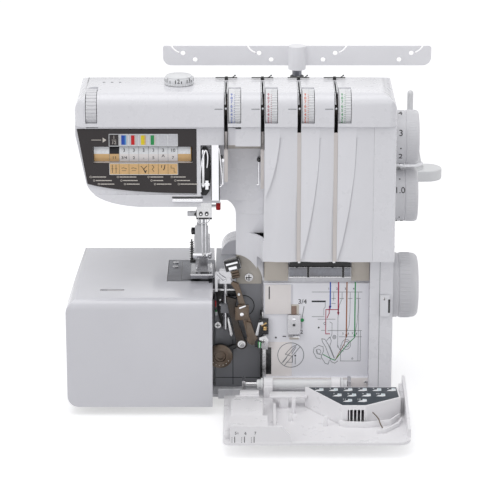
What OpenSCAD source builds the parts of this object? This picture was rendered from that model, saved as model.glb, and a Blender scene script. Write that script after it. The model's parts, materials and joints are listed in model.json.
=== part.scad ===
// Serger overlock machine. Millimetres, +Z up, +Y to the back.
// The origin lies on the table: X 0 is 12.5 mm right of the column's left face,
// Y 0 is the main shaft's plane.

/* [Casing] */
// Height of the top of the casing above the table
top_z = 290.5; // [284:0.5:300]
// Height of the sewing bed above the table
bed_z = 107.5; // [104:0.5:112]
// Width of the column
column_w = 138.5; // [134:0.5:150]
// Reach of the head to the left of the column
head_reach = 137.5; // [132:0.5:150]
// Distance of the column's front face ahead of the main shaft
column_front = 70; // [68:0.5:74]
// Distance of the back face behind the main shaft
body_back = 77; // [74:0.5:90]
// Height of the underside of the head
head_z = 188.5; // [184:0.5:192]
// Drop of the top cover's lower edge below the top of the casing
seam_drop = 28.5; // [26:0.5:30]
// Height of the lower edge of the ribbed cover
ribbed_z = 139.5; // [138.5:0.5:146]
// Wall thickness of the plastic covers
wall = 2.6; // [2:0.1:3]
// Radius of the casing's top corners, seen from the front
corner_r = 17; // [10:1:22]
// Radius of the top cover's front shoulder
shoulder_r = 11; // [8:0.5:13]
// Height of the rubber feet
foot_h = 8; // [6:0.5:10]
// Diameter of the rubber feet
foot_d = 18; // [12:1:24]

/* [Extension table] */
// Length of the extension table from its open right end
table_len = 128; // [122:1:140]
// Distance of the table's front face ahead of the main shaft
table_front = 80; // [79:0.5:86]
// Wall thickness of the extension table
table_wall = 3; // [2:0.1:3.2]
// Width of the needle plate
plate_w = 42; // [38:1:46]
// Depth of the needle plate, front to back
plate_d = 60; // [54:1:70]

/* [Looper cover] */
// Width of the looper cover without its side wall
door_w = 157; // [150:1:160]
// Length of the looper cover from its hinge to its free edge
door_len = 112; // [100:1:112]
// Distance of the cover's outer skin from the hinge axis
door_drop = 12.5; // [11:0.5:13]
// Thickness of the cover's skin
door_skin = 2.5; // [2:0.1:3]
// Diameter of the hinge rod
hinge_d = 4; // [3:0.5:5]
// Distance that the cover slides to the right before it folds down
door_slide = 9.5; // [6:0.5:9.5]

/* [Thread path] */
// Distance between neighbouring tension slots
slot_pitch = 31.4; // [28:0.1:32]
// Width of a tension slot
slot_w = 3.3; // [2.5:0.1:4]
// Radius of the thumb wheels in the top cover
wheel_r = 16; // [14:0.25:16.5]
// Width of a tension wheel
tension_w = 10; // [8:0.5:12]
// Diameter of the axle that the thumb wheels turn on
axle_d = 5; // [4:0.5:6]
// Distance between neighbouring spool pins
pin_pitch = 70.8; // [66:0.2:76]
// Diameter of a spool pin
pin_d = 6; // [4.5:0.1:8]
// Length of a spool pin above its cone holder's foot
pin_len = 75; // [60:1:85]
// Height of a finned cone holder
cone_h = 40; // [30:1:50]
// Height of the thread-guide plate
guide_h = 18.5; // [18:0.5:30]
// Thickness of the thread-guide plate
guide_t = 2.6; // [2:0.1:3.5]
// Travel of each of the two telescopic tubes of the mast
mast_travel = 75; // [50:1:78]

/* [Drive and controls] */
// Diameter of the main shaft
shaft_d = 10; // [8:0.5:12]
// Height of the main shaft above the table
shaft_z = 95; // [93:0.5:97]
// Diameter of the handwheel
handwheel_d = 58.6; // [50:0.2:62]
// Width of the handwheel
handwheel_w = 24.5; // [18:0.5:28]
// Diameter of the two setting dials
dial_d = 48; // [42:0.5:50]
// Width of the two setting dials
dial_w = 22.2; // [16:0.2:25]
// Distance of the needle bar left of the column
needle_out = 28.5; // [27:0.5:31]
// Diameter of the needle bar
needle_bar_d = 6.4; // [5:0.1:7.5]
// Diameter of the presser bar
presser_bar_d = 6; // [5:0.1:7]
// Reduction between the motor pulley and the main shaft
belt_ratio = 3; // [2.6:0.1:3.2]

/* [Clearances] */
// Radial play of shafts and pins in their bores
run_fit = 0.06; // [0.03:0.01:0.1]
// Gap between parts that move past each other
gap = 0.5; // [0.4:0.1:0.7]

/* [Hidden] */
$fn = 64;

// Casing outline
col_l = -12.5;
col_r = col_l + column_w;
col_f = -column_front;
head_l = col_l - head_reach;
head_f = col_f + 4;
lid_f = col_f - 3.5;
seam_z = top_z - seam_drop;
slope_drop = 26;
arm_back = body_back - 17;
base_z = foot_h;
front_strip_x = col_r - 19.5;
cut_y = -30;
joint = 0.1;
big = 400;

// Needle zone
needle_x = col_l - needle_out;
needle_y = -15;
presser_x = needle_x - 2;
presser_y = 2;
plate_r = needle_x + 9.4;
plate_l = plate_r - plate_w;
plate_f = -27;
plate_b = plate_f + plate_d;
plate_t = 3.2;
table_r = plate_r - 1.4;
table_l = table_r - table_len;
table_f = -table_front;
table_b = body_back;
arm_top = bed_z - table_wall - gap;

// Looper zone
bulk_y = -35;
chart_y = col_f + 22;
chart_l = col_l + 24.5;
pillar_l = col_r - 20.5;
pillar_y = col_f + 16;
floor_z = base_z + 3;
hinge_y = col_f + 4;
hinge_z = base_z + 16.5;
door_z = hinge_z - door_drop;
door_l = table_r + gap + door_slide;
door_f = hinge_y - door_len;

sleeve_r = hinge_d / 2 + 2;
knuckle_x = [chart_l, chart_l + 60];
sleeve_l = knuckle_x[0] - 6;
sleeve_len = knuckle_x[1] + 14 - sleeve_l;
rod_l = sleeve_l - door_slide - gap;
rod_r = sleeve_l + sleeve_len + gap;
upper_pivot = [col_l + 14.5, 0, 62];
lower_pivot = [col_l + 5, 0, 56];
cutter_pivot = [plate_r + 5, 0, 43];
lifter_y = arm_back - 10;

// Thread path
slot_x = [for (i = [0:3]) col_l - 8.1 + i * slot_pitch];
wheel_y = lid_f + 15;
wheel_z = top_z - 15;
program_x = head_l + 10;
program_w = 9;
drum_y = wheel_y + 6;
drum_z = wheel_z - 40.2;
tray_y = body_back + 51;
tray_z = 158;
tray_t = 10.5;
mast_x = col_l + 56.3;
pin_x = [for (i = [0:3]) mast_x + (i - 1.5) * pin_pitch];
tray_end = 31;
guide_z = 286 - guide_h;
hub_drop = 3.5;
tube_r = 5.5;
middle_r = 4.4;
top_rod_r = 3.3;

// Drive
dial_y = -5;
length_dial_z = 234.6;
feed_dial_z = 182;
big_pulley_r = 26;
small_pulley_r = big_pulley_r / belt_ratio;
motor_y = 40;
motor_z = 48;
pulley_x = col_r - 36;
pulley_w = 9;
plate_x = [4, col_r - 22];
frame_t = 6;
frame_front = 24;
guide_drop = 50;

function quad(a, b, c, n) = [for (i = [0:n])
    let (t = i / n) (1 - t) * (1 - t) * a + 2 * t * (1 - t) * b + t * t * c];

// Places a flat shape drawn in (Y, Z) between two X values
module along_x(x0, x1) {
    translate([x0, 0, 0]) rotate([90, 0, 90]) linear_extrude(x1 - x0) children();
}

// Places a flat shape drawn in (X, Z) between two Y values
module along_y(y0, y1) {
    translate([0, y1, 0]) rotate([90, 0, 0]) linear_extrude(y1 - y0) children();
}

// Places a flat shape drawn in (X, Y) between two heights
module along_z(z0, z1) {
    translate([0, 0, z0]) linear_extrude(z1 - z0) children();
}

// A box between two corners
module block(a, b) {
    translate(a) cube(b - a);
}

// A round bar along X, Y or Z from a point
module bar_x(p, r, h) {
    translate(p) rotate([0, 90, 0]) cylinder(r = r, h = h);
}
module bar_y(p, r, h) {
    translate(p) rotate([-90, 0, 0]) cylinder(r = r, h = h);
}
module bar_z(p, r, h) {
    translate(p) cylinder(r = r, h = h);
}

// What a corner of radius r loses, with the corner at p and the inside towards d
module corner_cut(p, d, r) {
    if (r > 0) {
        difference() {
            translate([min(p.x, p.x + d.x * r), min(p.y, p.y + d.y * r)])
                square(r);
            translate([p.x + d.x * r, p.y + d.y * r]) circle(r);
        }
    }
}

// A rectangle with a radius of its own at each corner
module round_rect(a, b, bl = 0, br = 0, tr = 0, tl = 0) {
    difference() {
        translate(a) square(b - a);
        corner_cut(a, [1, 1], bl);
        corner_cut([b.x, a.y], [-1, 1], br);
        corner_cut(b, [-1, -1], tr);
        corner_cut([a.x, b.y], [1, -1], tl);
    }
}

// The casing seen from the front, drawn o inside its skin
module front_outline(o) {
    union() {
        round_rect([col_l + o, base_z - 1], [col_r - o, top_z - o], tr = corner_r - o);
        difference() {
            polygon(concat(
                [[col_l + 2 * o + 1, top_z - o], [head_l + o, top_z - o],
                    [head_l + o, seam_z - 10]],
                quad([head_l + 8 + o, head_z + 24], [head_l + 10 + o, head_z + 3 + o],
                    [head_l + 54, head_z + o], 10),
                [[col_l - 14, head_z + o], [col_l + 2 * o + 1, head_z + o]]));
            corner_cut([head_l + o, top_z - o], [1, -1], corner_r - o);
        }
        difference() {
            translate([col_l - 14, head_z - 14]) square([14 + 2 * o + 1, 14 + o + 1]);
            translate([col_l - 14, head_z - 14]) circle(14 + o);
        }
    }
}

// Wedge over the top, which slopes down to the back
module top_slope(o) {
    translate([0, -o]) polygon([[-12, top_z], [body_back + 10, top_z + 9],
        [body_back + 10, top_z - slope_drop]]);
}

// The column's section from the right
module column_side(o) {
    difference() {
        union() {
            round_rect([col_f + o, base_z - 1], [body_back - o, top_z - o], tr = 20 - o);
            round_rect([lid_f + o, seam_z + o], [0, top_z - o], tl = shoulder_r - o);
        }
        corner_cut([lid_f + o, top_z - o], [1, -1], shoulder_r - o);
        top_slope(o);
    }
}

// The head's section from the right, with the top sloping down to the back
module head_side(o) {
    difference() {
        union() {
            round_rect([head_f + o, head_z - 40], [arm_back - o, top_z - o], tr = 16 - o);
            round_rect([lid_f + o, seam_z + o], [0, top_z - o], tl = shoulder_r - o);
        }
        corner_cut([lid_f + o, top_z - o], [1, -1], shoulder_r - o);
        top_slope(o);
    }
}

// Hollows in the front of the casing that its skin follows
module front_pockets(o) {
    // Recess beside the needle, behind the wire hooks
    block([col_l - 13.5 - o, lid_f - 20, head_z - 30], [chart_l + o, -45 + o, seam_z - 18 + o]);
    // Shallow well of the needle's thread guides
    block([plate_r - 11 - o, lid_f - 20, head_z - 30],
        [col_l - 13 + o, head_f + 12 + o, seam_z - 18 + o]);
    // Hollow left edge of the ribbed cover
    bar_z([chart_l - 31, col_f, -big], 30 + o, big + head_z + o);
    // Looper area, in front of its panels
    block([-big, -big, -big], [chart_l + o, bulk_y + o, ribbed_z - 25 + o]);
    block([chart_l - 6 - o, -big, -big], [pillar_l + o, chart_y + 2.4 + o, ribbed_z + o]);
    block([pillar_l - 5, -big, -big], [big, pillar_y + o, ribbed_z + o]);
    // Quarter-round plate beside the loopers
    along_y(-big, bulk_y + o) translate([col_l, ribbed_z - 26]) circle(23.5 + o);
    // Seat of the display panel
    block([head_l - 1, lid_f - 20, head_z + 11], [plate_r - 14.2, head_f + 1.6 + o, seam_z - 3.4 + o]);
}

module casing_solid(o) {
    difference() {
        intersection() {
            along_y(-big, big) front_outline(o);
            union() {
                intersection() {
                    along_x(col_l + o, col_r - o) column_side(o);
                    along_z(-1, top_z) round_rect([col_l + o, lid_f], [col_r - o, body_back - o],
                        br = 8 - o, tr = corner_r - o);
                }
                intersection() {
                    along_x(head_l + o, col_l + 2 * o + 1) head_side(o);
                    along_z(0, top_z) round_rect([head_l + o, lid_f + o],
                        [col_l + 2 * o + 1, arm_back - o], bl = 9 - o, tl = 14 - o);
                }
            }
        }
        front_pockets(o);
        translate([0, 0, -big + base_z]) block([-big, -big, 0], [big, big, big]);
    }
}

module tension_slots() {
    for (i = [0:3]) {
        block([slot_x[i] - slot_w / 2, lid_f - 9, seam_z - 22], [slot_x[i] + slot_w / 2, -24, top_z + 9]);
    }
}

// Window of a thumb wheel, and its room behind the lip of the top cover
module wheel_window(x0, x1, back, low) {
    block([x0, lid_f - 9, seam_z + 3], [x1, wheel_y + back, top_z + 9]);
    block([x0, lid_f + 2, seam_z - low], [x1, wheel_y + back, seam_z + 4]);
}

module wheel_windows() {
    for (x = slot_x) {
        wheel_window(x + 2, x + 2 + tension_w + 2 * gap, 11, x < col_l ? 2.7 : joint / 2);
    }
    wheel_window(program_x - gap, program_x + program_w + gap, 13, 2.7);
}

module casing_shell() {
    difference() {
        casing_solid(0);
        casing_solid(wall);
        tension_slots();
        wheel_windows();
        // Holes of the main shaft and the setting dials
        bar_x([col_r - 9, 0, shaft_z], shaft_d / 2 + gap, 20);
        for (z = [length_dial_z, feed_dial_z]) {
            bar_x([col_r - 9, dial_y, z], 4 + run_fit, 20);
        }
        // Slot of the power switch
        block([col_r - wall - 1, -26.4, 125.6], [col_r + 1, -13.6, 144.4]);
        // Bores of the needle bar and the presser bar
        bar_z([needle_x, needle_y, head_z - 20], needle_bar_d / 2 + gap, 60);
        bar_z([presser_x, presser_y, head_z - 20], presser_bar_d / 2 + gap, 60);
        // Hole of the pressure knob
        bar_z([needle_x - 20.5, -35, top_z - 20], 4.5 + run_fit, 40);
        // Window of the program drum
        block([head_l + 15, lid_f - 9, 228], [plate_r - 18, -50, 242.5]);
        // Inlet in the back
        block([col_r - 60, body_back - 9, 30], [col_r - 32, body_back + 9, 50]);
        // Slot of the presser lifter in the back
        block([presser_x - 8, arm_back - 9, head_z - 9], [presser_x + 8, arm_back + 9, head_z + 22]);
    }
}

module top_cover() {
    color("whitesmoke") intersection() {
        casing_shell();
        union() {
            block([-big, -big, seam_z], [big, big, big]);
            block([front_strip_x + joint, -big, ribbed_z - joint], [big, cut_y, big]);
        }
    }
}

module ribbed_cover() {
    color("whitesmoke") difference() {
        intersection() {
            casing_shell();
            union() {
                block([chart_l - 0.5, -big, ribbed_z - joint], [front_strip_x, cut_y, seam_z - joint]);
                block([col_l - 2, -big, ribbed_z - 22], [chart_l, cut_y, head_z - 13]);
            }
        }
        // Grooves below the two right-hand slots
        for (i = [2:3]) {
            block([slot_x[i] - slot_w / 2, col_f - 1, 0], [slot_x[i] + slot_w / 2, col_f + 1.5, big]);
        }
        // Shallow flutes beside them
        for (x = [chart_l, slot_x[2] + slot_w / 2, slot_x[3] + slot_w / 2]) {
            translate([x + 1, col_f - 38.7, ribbed_z - 1]) rotate([0, 4, 0]) cylinder(r = 40, h = 114);
        }
    }
}

module face_cover() {
    color("whitesmoke") intersection() {
        casing_shell();
        block([-big, -big, head_z - 13 + joint], [chart_l - 0.5 - joint, cut_y, seam_z - joint]);
    }
}

module rear_cover() {
    color("whitesmoke") {
        difference() {
            union() {
                intersection() {
                    casing_shell();
                    union() {
                        block([-big, cut_y + joint, 0], [big, big, seam_z - joint]);
                        block([col_l - 2, -big, floor_z], [chart_l + 1, cut_y + 1, ribbed_z - 22 - joint]);
                        block([chart_l + 0.9, -big, floor_z], [big, cut_y + 1, ribbed_z - 2 * joint]);
                    }
                }
                // Strike of the looper cover's catch
                block([col_r - 11, pillar_y - 2.8, 84.6], [col_r - 3, pillar_y, 104]);
                // Flared foot of the column behind the bed
                intersection() {
                    bar_y([col_l, body_back - 28, bed_z], 14, 28);
                    block([col_l - 14, 0, bed_z], [col_l, big, big]);
                }
            }
            // Way of the free arm into the column
            block([col_l - 9, bulk_y, -1], [col_l + wall + 1, body_back - 6, bed_z]);
            block([col_l - 9, body_back - 7, -1], [col_l + wall + 1, big, 17]);
        }
    }
}

module base_pan() {
    color("whitesmoke") {
        along_z(base_z, floor_z) {
            round_rect([col_l, pillar_y + wall + gap], [col_r - wall, body_back - wall],
                br = 4, tr = corner_r - wall);
            round_rect([col_l - 16, col_f + 10], [pillar_l - 2 * wall, body_back - wall]);
            round_rect([table_l + 20, table_f + 24], [col_l, table_b - table_wall - 7], bl = 12, tl = 12);
        }
        // Front lip under the looper cover's hinge
        block([col_l - 16, col_f + 10, floor_z], [pillar_l - 2 * wall, col_f + 13, base_z + 9]);
    }
}

module rubber_feet() {
    color("dimgray") for (p = [[table_l + 36, -44], [table_l + 36, 56], [col_r - 24, -38],
        [col_r - 28, 54], [col_l + 4, -46], [col_l + 4, 54]]) {
        difference() {
            bar_z([p.x, p.y, 0], foot_d / 2, foot_h);
            bar_z([p.x, p.y, -1], foot_d / 4, foot_h - 2);
        }
    }
    // Solid middle foot at the origin
    color("dimgray") bar_z([0, 0, 0], foot_d / 2, foot_h);
}

module machine_frame() {
    color("silver") difference() {
        union() {
            // Base casting
            block([col_l - 14, -frame_front, floor_z], [col_r - 16, body_back - 12, floor_z + 8]);
            // Bearing plates of the column
            for (x = plate_x) {
                block([x, -frame_front, floor_z + 8], [x + frame_t, 44, top_z - 34]);
            }
            // Arm
            block([head_l + 34, presser_y + 8, head_z + 6], [plate_x[1], presser_y + 14, top_z - 34]);
            // Cheeks of the presser lifter
            for (x = [presser_x - 9, presser_x + 5.5]) {
                block([x, presser_y + 13, head_z + 6], [x + 3.5, lifter_y + 4, head_z + 14]);
            }
            // Guides of the needle bar and the presser bar
            for (z = [head_z + 10, top_z - guide_drop]) {
                block([needle_x - 9, needle_y - 8, z], [needle_x + 9, presser_y + 8, z + 10]);
            }
        }
        bar_x([plate_x[0] - 1, 0, shaft_z], shaft_d / 2 + 4, big);
        // Bores of the presser lifter's pin
        bar_x([presser_x - 12, lifter_y, head_z + 10], 2 + run_fit, 24);
        for (z = [head_z + 9, top_z - guide_drop - 1]) {
            bar_z([needle_x, needle_y, z], needle_bar_d / 2 + run_fit, 12);
            bar_z([presser_x, presser_y, z], presser_bar_d / 2 + run_fit, 12);
        }
        for (z = [length_dial_z, feed_dial_z]) {
            bar_x([plate_x[1] - 1, dial_y, z], 4 + run_fit, frame_t + 2);
        }
    }
}

module shaft_bushes() {
    color("goldenrod") for (x = plate_x) {
        difference() {
            bar_x([x - 1, 0, shaft_z], shaft_d / 2 + 4 - run_fit / 3, frame_t + 2);
            bar_x([x - 2, 0, shaft_z], shaft_d / 2 + run_fit, frame_t + 4);
        }
    }
}

module free_arm() {
    color("gainsboro") difference() {
        union() {
            block([table_l + 24, plate_f - 3, floor_z], [plate_r + gap, plate_b + 5, arm_top]);
            // Bed beside the needle plate
            block([plate_r + gap, bulk_y, floor_z + 8], [col_l, body_back - 8, bed_z]);
        }
        block([table_l + 24 + wall, plate_f - 3 + wall, floor_z - 1],
            [plate_r + gap - wall, plate_b + 5 - wall, arm_top - wall]);
        block([plate_r, bulk_y - 1, floor_z - 1], [col_l + 1, body_back - 8 - wall, bed_z - wall]);
        // Seat of the needle plate and its opening
        block([plate_l + 3, plate_f + 3, 0], [plate_r - 3, plate_b - 3, big]);
        block([plate_l - gap, plate_f - gap, bed_z - plate_t], [plate_r + gap, plate_b + gap, big]);
        // Place of the lower knife
        block([plate_r - 4.5 - gap, plate_f - 5, bed_z - 16 - gap], [plate_r + 2, plate_f + 8 + gap, big]);
        // Clear of the base casting
        block([col_l - 14 - gap, -24 - gap, 0], [big, body_back - 12 + gap, floor_z + 8]);
    }
    // Rail of the feed dogs
    color("silver") bar_y([needle_x - 2.5, plate_f - 3 + wall, bed_z - 18.5], 2, plate_d + 8 - 2 * wall);
}

module needle_plate() {
    color("slategray") difference() {
        block([plate_l, plate_f, bed_z - plate_t], [plate_r, plate_b, bed_z]);
        // Needle slot
        block([needle_x - 4, needle_y - 4.5, 0], [needle_x + 4, needle_y + 4.5, big]);
        // Feed dog slots
        for (x = [needle_x - 11, needle_x - 5.6, needle_x + 1.8]) {
            block([x, needle_y + 7, 0], [x + 4, needle_y + 30, big]);
        }
        // Notch of the lower knife
        block([plate_r - 5, plate_f - 1, 0], [plate_r + 1, plate_f + 9, big]);
    }
    // Screw heads
    color("silver") for (y = [plate_b - 8, plate_b - 20]) {
        bar_z([plate_l + 6, y, bed_z], 2.4, 0.6);
    }
}

module lower_knife() {
    color("silver") difference() {
        block([plate_r - 4.5, plate_f - 4, bed_z - 16], [plate_r - 1.5, plate_f + 8, bed_z - 0.2]);
        bar_x([plate_r - 9, plate_f + 2, bed_z - 10], 1.6, 12);
    }
    color("silver") bar_x([plate_r - 1.5, plate_f + 2, bed_z - 10], 2.8, 1.6);
}

module display_panel() {
    color("saddlebrown") difference() {
        along_y(head_f, head_f + 1.6) polygon(concat(
            [[plate_r - 14.5, seam_z - 3.8], [head_l + 1.5, seam_z - 3.8]],
            quad([head_l + 9.7, head_z + 20.7], [head_l + 40, head_z + 12.4],
                [plate_r - 14.5, head_z + 12.2], 8)));
        block([head_l + 15, head_f - 1, 228], [plate_r - 18, head_f + 3, 242.5]);
    }
}

module looper_bulkhead() {
    color("dimgray") difference() {
        union() {
            block([plate_r + gap, bulk_y - 2.4, floor_z], [chart_l - 1.6, bulk_y, bed_z + 1]);
            // Quarter-round plate under the ribbed cover
            along_y(bulk_y - 2.4, bulk_y) intersection() {
                translate([col_l, ribbed_z - 26]) circle(23.2);
                translate([col_l, bed_z + 1]) square(30);
            }
            // Bushes of the looper shafts
            for (p = [upper_pivot, lower_pivot, cutter_pivot]) {
                bar_y([p.x, bulk_y - 4, p.z], 4.3, 3);
            }
        }
        // Bores of the looper shafts
        for (p = [upper_pivot, lower_pivot, cutter_pivot]) {
            bar_y([p.x, bulk_y - 9, p.z], 2.5 + run_fit, 18);
        }
        // Round hollow behind the upper looper's clamp
        bar_y([col_l + 6.5, bulk_y - 3.4, 88], 9.5, 1.8);
    }
    // Guide of the upper knife
    difference() {
        block([plate_r + 5.6, bulk_y - 11, 84], [plate_r + 13.6, bulk_y - 2.4, 92]);
        bar_z([plate_r + 9.6, bulk_y - 7, 80], 2.2 + run_fit, 20);
    }
}

module chart_panel() {
    color("white") {
        difference() {
            union() {
                block([chart_l, chart_y, 25], [pillar_l, chart_y + 2.4, ribbed_z - 26.5]);
                // Raised label field
                block([chart_l + 1.5, chart_y - 1.2, 84.5], [chart_l + 24, chart_y, ribbed_z - 28]);
                // Ledge along the bottom
                block([chart_l, chart_y - 3, floor_z], [pillar_l, chart_y + 2.4, 25]);
            }
            // Slot of the stitch selector
            block([chart_l + 24.6, chart_y - 9, 62], [chart_l + 29.4, chart_y + 9, 92]);
        }
    }
}

module looper_thread_guides() {
    // Tension plate above the chart
    color("gray") {
        difference() {
            block([chart_l + 22, chart_y - 3, ribbed_z - 20.5], [chart_l + 77, chart_y + 2.4, ribbed_z - 11]);
            for (x = [slot_x[2] - 1, slot_x[3] - 1]) {
                block([x - 0.8, chart_y - 4, 0], [x + 0.8, chart_y - 1, big]);
            }
        }
        for (x = [slot_x[2] - 4, slot_x[3] - 4]) {
            bar_y([x, chart_y - 1, ribbed_z - 6], 2.4, 3.4);
        }
    }
    // Guide bar between the looper area and the chart
    color("silver") difference() {
        block([chart_l - 1.4, chart_y - 1, floor_z + 10], [chart_l - 0.2, chart_y + 12.8, 86]);
        for (z = [38, 60, 78]) {
            bar_x([chart_l - 3, chart_y + 2, z], 1.5, 5);
        }
    }
}

module top_thread_guides() {
    color("dimgray") for (x = slot_x) {
        block([x - 1.5, -22, top_z], [x + 1.5, -17, top_z + 1.2]);
        block([x - 9.5, -20.4, top_z + 1.2], [x + 9.5, -18.2, top_z + 2]);
    }
}

module tension_discs() {
    color("silver") {
        bar_x([head_l + wall + 0.4, wheel_y, wheel_z], axle_d / 2, head_reach + column_w - 2 * wall - 0.8);
        for (x = slot_x, side = [-1, 0.2]) {
            bar_x([x + side, wheel_y, wheel_z], 9, 0.8);
        }
        // Axle of the program drum
        bar_x([head_l + wall + 4.5, drum_y, drum_z], 2, plate_r - 16.2 - head_l - 2 * wall);
    }
}

module face_thread_guides() {
    color("silver") {
        // Upright guide strip beside the needle bar
        block([plate_r - 1.5, head_f + 6, head_z + 4], [plate_r + 4.5, head_f + 8, seam_z - 18]);
        // Cheek of the take-up lever
        difference() {
            block([needle_x + 2.4, head_f + 6, head_z + 14], [needle_x + 5, head_f + 12, head_z + 22]);
            bar_x([needle_x, head_f + 8.6, head_z + 18], 1.5 + run_fit, 9);
        }
        // Wire hooks of the recess
        for (x = [slot_x[0] - 3, slot_x[1] - 3]) {
            bar_y([x, -52, head_z + 38], 1.5, 7);
            bar_z([x, -51, head_z + 16], 0.9, 22);
            bar_x([x - 2, -51, head_z + 16], 0.9, 2);
        }
        // Guide rod on the head's lower edge
        bar_x([needle_x - 26, head_f - 2, head_z + 6.5], 1.4, 26);
        for (x = [needle_x - 23, needle_x - 5]) {
            bar_y([x, head_f - 2, head_z + 6.5], 1, 2);
        }
    }
}

module spool_tray() {
    half = 1.5 * pin_pitch + tray_end;
    color("whitesmoke") difference() {
        union() {
            along_z(tray_z, tray_z + tray_t) {
                round_rect([mast_x - half, tray_y - 14], [mast_x + half, tray_y + 14], 14, 14, 14, 14);
            }
            block([mast_x - 22, body_back, tray_z], [mast_x + 22, tray_y, tray_z + tray_t - 3]);
        }
        // Hollow underside between the pins
        for (i = [0:2]) {
            block([pin_x[i] + 12, tray_y - 11, tray_z - 1], [pin_x[i + 1] - 12, tray_y + 11, tray_z + 4]);
        }
    }
}

module spool_pins() {
    foot_len = cone_h + gap;
    r = pin_d / 2 - 0.2;
    color("whitesmoke") for (x = pin_x) translate([x, tray_y, tray_z + tray_t]) {
        // Foot in the cone holder, ending in a shoulder just above it
        cylinder(r = pin_d / 2, h = foot_len);
        translate([0, 0, foot_len]) cylinder(r = r, h = pin_len - foot_len - r);
        translate([0, 0, pin_len - r]) sphere(r);
    }
}

module cone_holders() {
    color("whitesmoke") for (x = pin_x) translate([x, tray_y, tray_z + tray_t]) {
        difference() {
            union() {
                cylinder(r = 13, h = 3);
                cylinder(r = pin_d / 2 + 1.6, h = cone_h);
                for (a = [0, 120, 240]) {
                    rotate([0, 0, a]) translate([0, 0.9, 0]) rotate([90, 0, 0]) linear_extrude(1.8)
                        polygon([[0, 0], [12, 0], [12, 3], [pin_d / 2 + 2.4, cone_h], [0, cone_h]]);
                }
            }
            translate([0, 0, -1]) cylinder(r = pin_d / 2 + run_fit, h = cone_h + 2);
        }
    }
}

module mast_tube() {
    color("gray") difference() {
        bar_z([mast_x, tray_y, tray_z + tray_t], tube_r, guide_z - 14 - tray_z - tray_t);
        bar_z([mast_x, tray_y, tray_z + tray_t - 1], middle_r + run_fit, big);
    }
}

module mast_middle() {
    color("dimgray") difference() {
        bar_z([mast_x, tray_y, tray_z + tray_t + gap], middle_r,
            guide_z - hub_drop - 2 * gap - tray_z - tray_t);
        bar_z([mast_x, tray_y, tray_z], top_rod_r + run_fit, big);
    }
}

module thread_guide_top() {
    half = 1.5 * pin_pitch + 18.6;
    top = guide_z + guide_h;
    color("whitesmoke") {
        difference() {
            union() {
                along_y(tray_y - guide_t / 2, tray_y + guide_t / 2)
                    round_rect([mast_x - half, guide_z], [mast_x + half, top], 8, 8, 2, 2);
                bar_z([mast_x, tray_y, guide_z - hub_drop], 8.2, guide_h + hub_drop);
            }
            for (i = [0:3]) {
                side = i < 2 ? -1 : 1;
                translate([pin_x[i], 0, 0]) {
                    bar_y([0, tray_y - 5, top - 6.8], 2.2, 10);
                    bar_y([-side * 11.3, tray_y - 5, top - 13], 2.2, 10);
                    // Curved notch from the top edge to the eye
                    along_y(tray_y - 5, tray_y + 5) translate([0, top + 4.6]) intersection() {
                        difference() {
                            circle(12.2);
                            circle(10.6);
                        }
                        translate([side < 0 ? -13 : 0, -13]) square(13);
                    }
                }
            }
        }
    }
    color("gray") bar_z([mast_x, tray_y, tray_z + tray_t + 2 * gap], top_rod_r,
        guide_z - hub_drop - tray_z - tray_t - 2 * gap);
}

module motor() {
    color("dimgray") difference() {
        union() {
            bar_x([20, motor_y, motor_z], 24, pulley_x - 24);
            block([28, motor_y - 18, floor_z + 8], [pulley_x - 12, motor_y + 18, motor_z - 12]);
        }
        bar_x([pulley_x - 12, motor_y, motor_z], 3 + run_fit, 10);
    }
}

module motor_pulley() {
    color("silver") {
        bar_x([pulley_x - 10, motor_y, motor_z], 3, pulley_w + 11);
        difference() {
            bar_x([pulley_x, motor_y, motor_z], small_pulley_r + 1.5, pulley_w);
            difference() {
                bar_x([pulley_x + 1.5, motor_y, motor_z], small_pulley_r + 3, pulley_w - 3);
                bar_x([pulley_x, motor_y, motor_z], small_pulley_r, pulley_w);
            }
        }
    }
}

// The outline of a belt round two wheels, in (Y, Z)
module belt_loop(a, ra, b, rb) {
    d = norm(b - a);
    turn = atan2(b.y - a.y, b.x - a.x);
    lean = acos((ra - rb) / d);
    union() {
        translate(a) circle(ra);
        translate(b) circle(rb);
        polygon([for (c = [[a, ra, lean], [b, rb, lean], [b, rb, -lean], [a, ra, -lean]])
            c[0] + (c[1] - 0.04) * [cos(turn + c[2]), sin(turn + c[2])]]);
    }
}

module belt(x0, x1, a, ra, b, rb, t) {
    along_x(x0, x1) difference() {
        belt_loop(a, ra + 0.3 + t, b, rb + 0.3 + t);
        belt_loop(a, ra + 0.3, b, rb + 0.3);
    }
}

module drive_belts() {
    color("black") {
        belt(pulley_x + 2, pulley_x + pulley_w - 2, [0, shaft_z], big_pulley_r,
            [motor_y, motor_z], small_pulley_r, 1);
        belt(program_x + program_w + 1, program_x + program_w + 4, [wheel_y, wheel_z], 4,
            [drum_y, drum_z], 4, 1);
    }
}

module power_inlet() {
    color("dimgray") {
        difference() {
            block([col_r - 60, body_back - 13, 30], [col_r - 32, body_back + 1, 50]);
            block([col_r - 57, body_back - 11.4, 33], [col_r - 35, body_back + 2, 47]);
        }
        for (x = [col_r - 51, col_r - 46, col_r - 41]) {
            bar_y([x, body_back - 12, 40], 1.6, 9);
        }
    }
}

module hinge_rod() {
    color("silver") {
        bar_x([rod_l, hinge_y, hinge_z], hinge_d / 2, rod_r - rod_l);
        for (x = [rod_l - 3, rod_r]) {
            block([x, hinge_y - 4, hinge_z - 4], [x + 3, col_f + 13, hinge_z + 4]);
            block([x, col_f + 10, base_z + 9], [x + 3, col_f + 13, hinge_z]);
        }
    }
}

// A pan-head screw that lies on a face towards -Y
module face_screw(p, r) {
    difference() {
        bar_y(p - [0, 1.6, 0], r, 1.6);
        translate(p - [r * 0.6, 1.7, 0.5]) cube([r * 1.2, 0.8, 1]);
        translate(p - [0.5, 1.7, r * 0.6]) cube([1, 0.8, r * 1.2]);
    }
}

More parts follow.
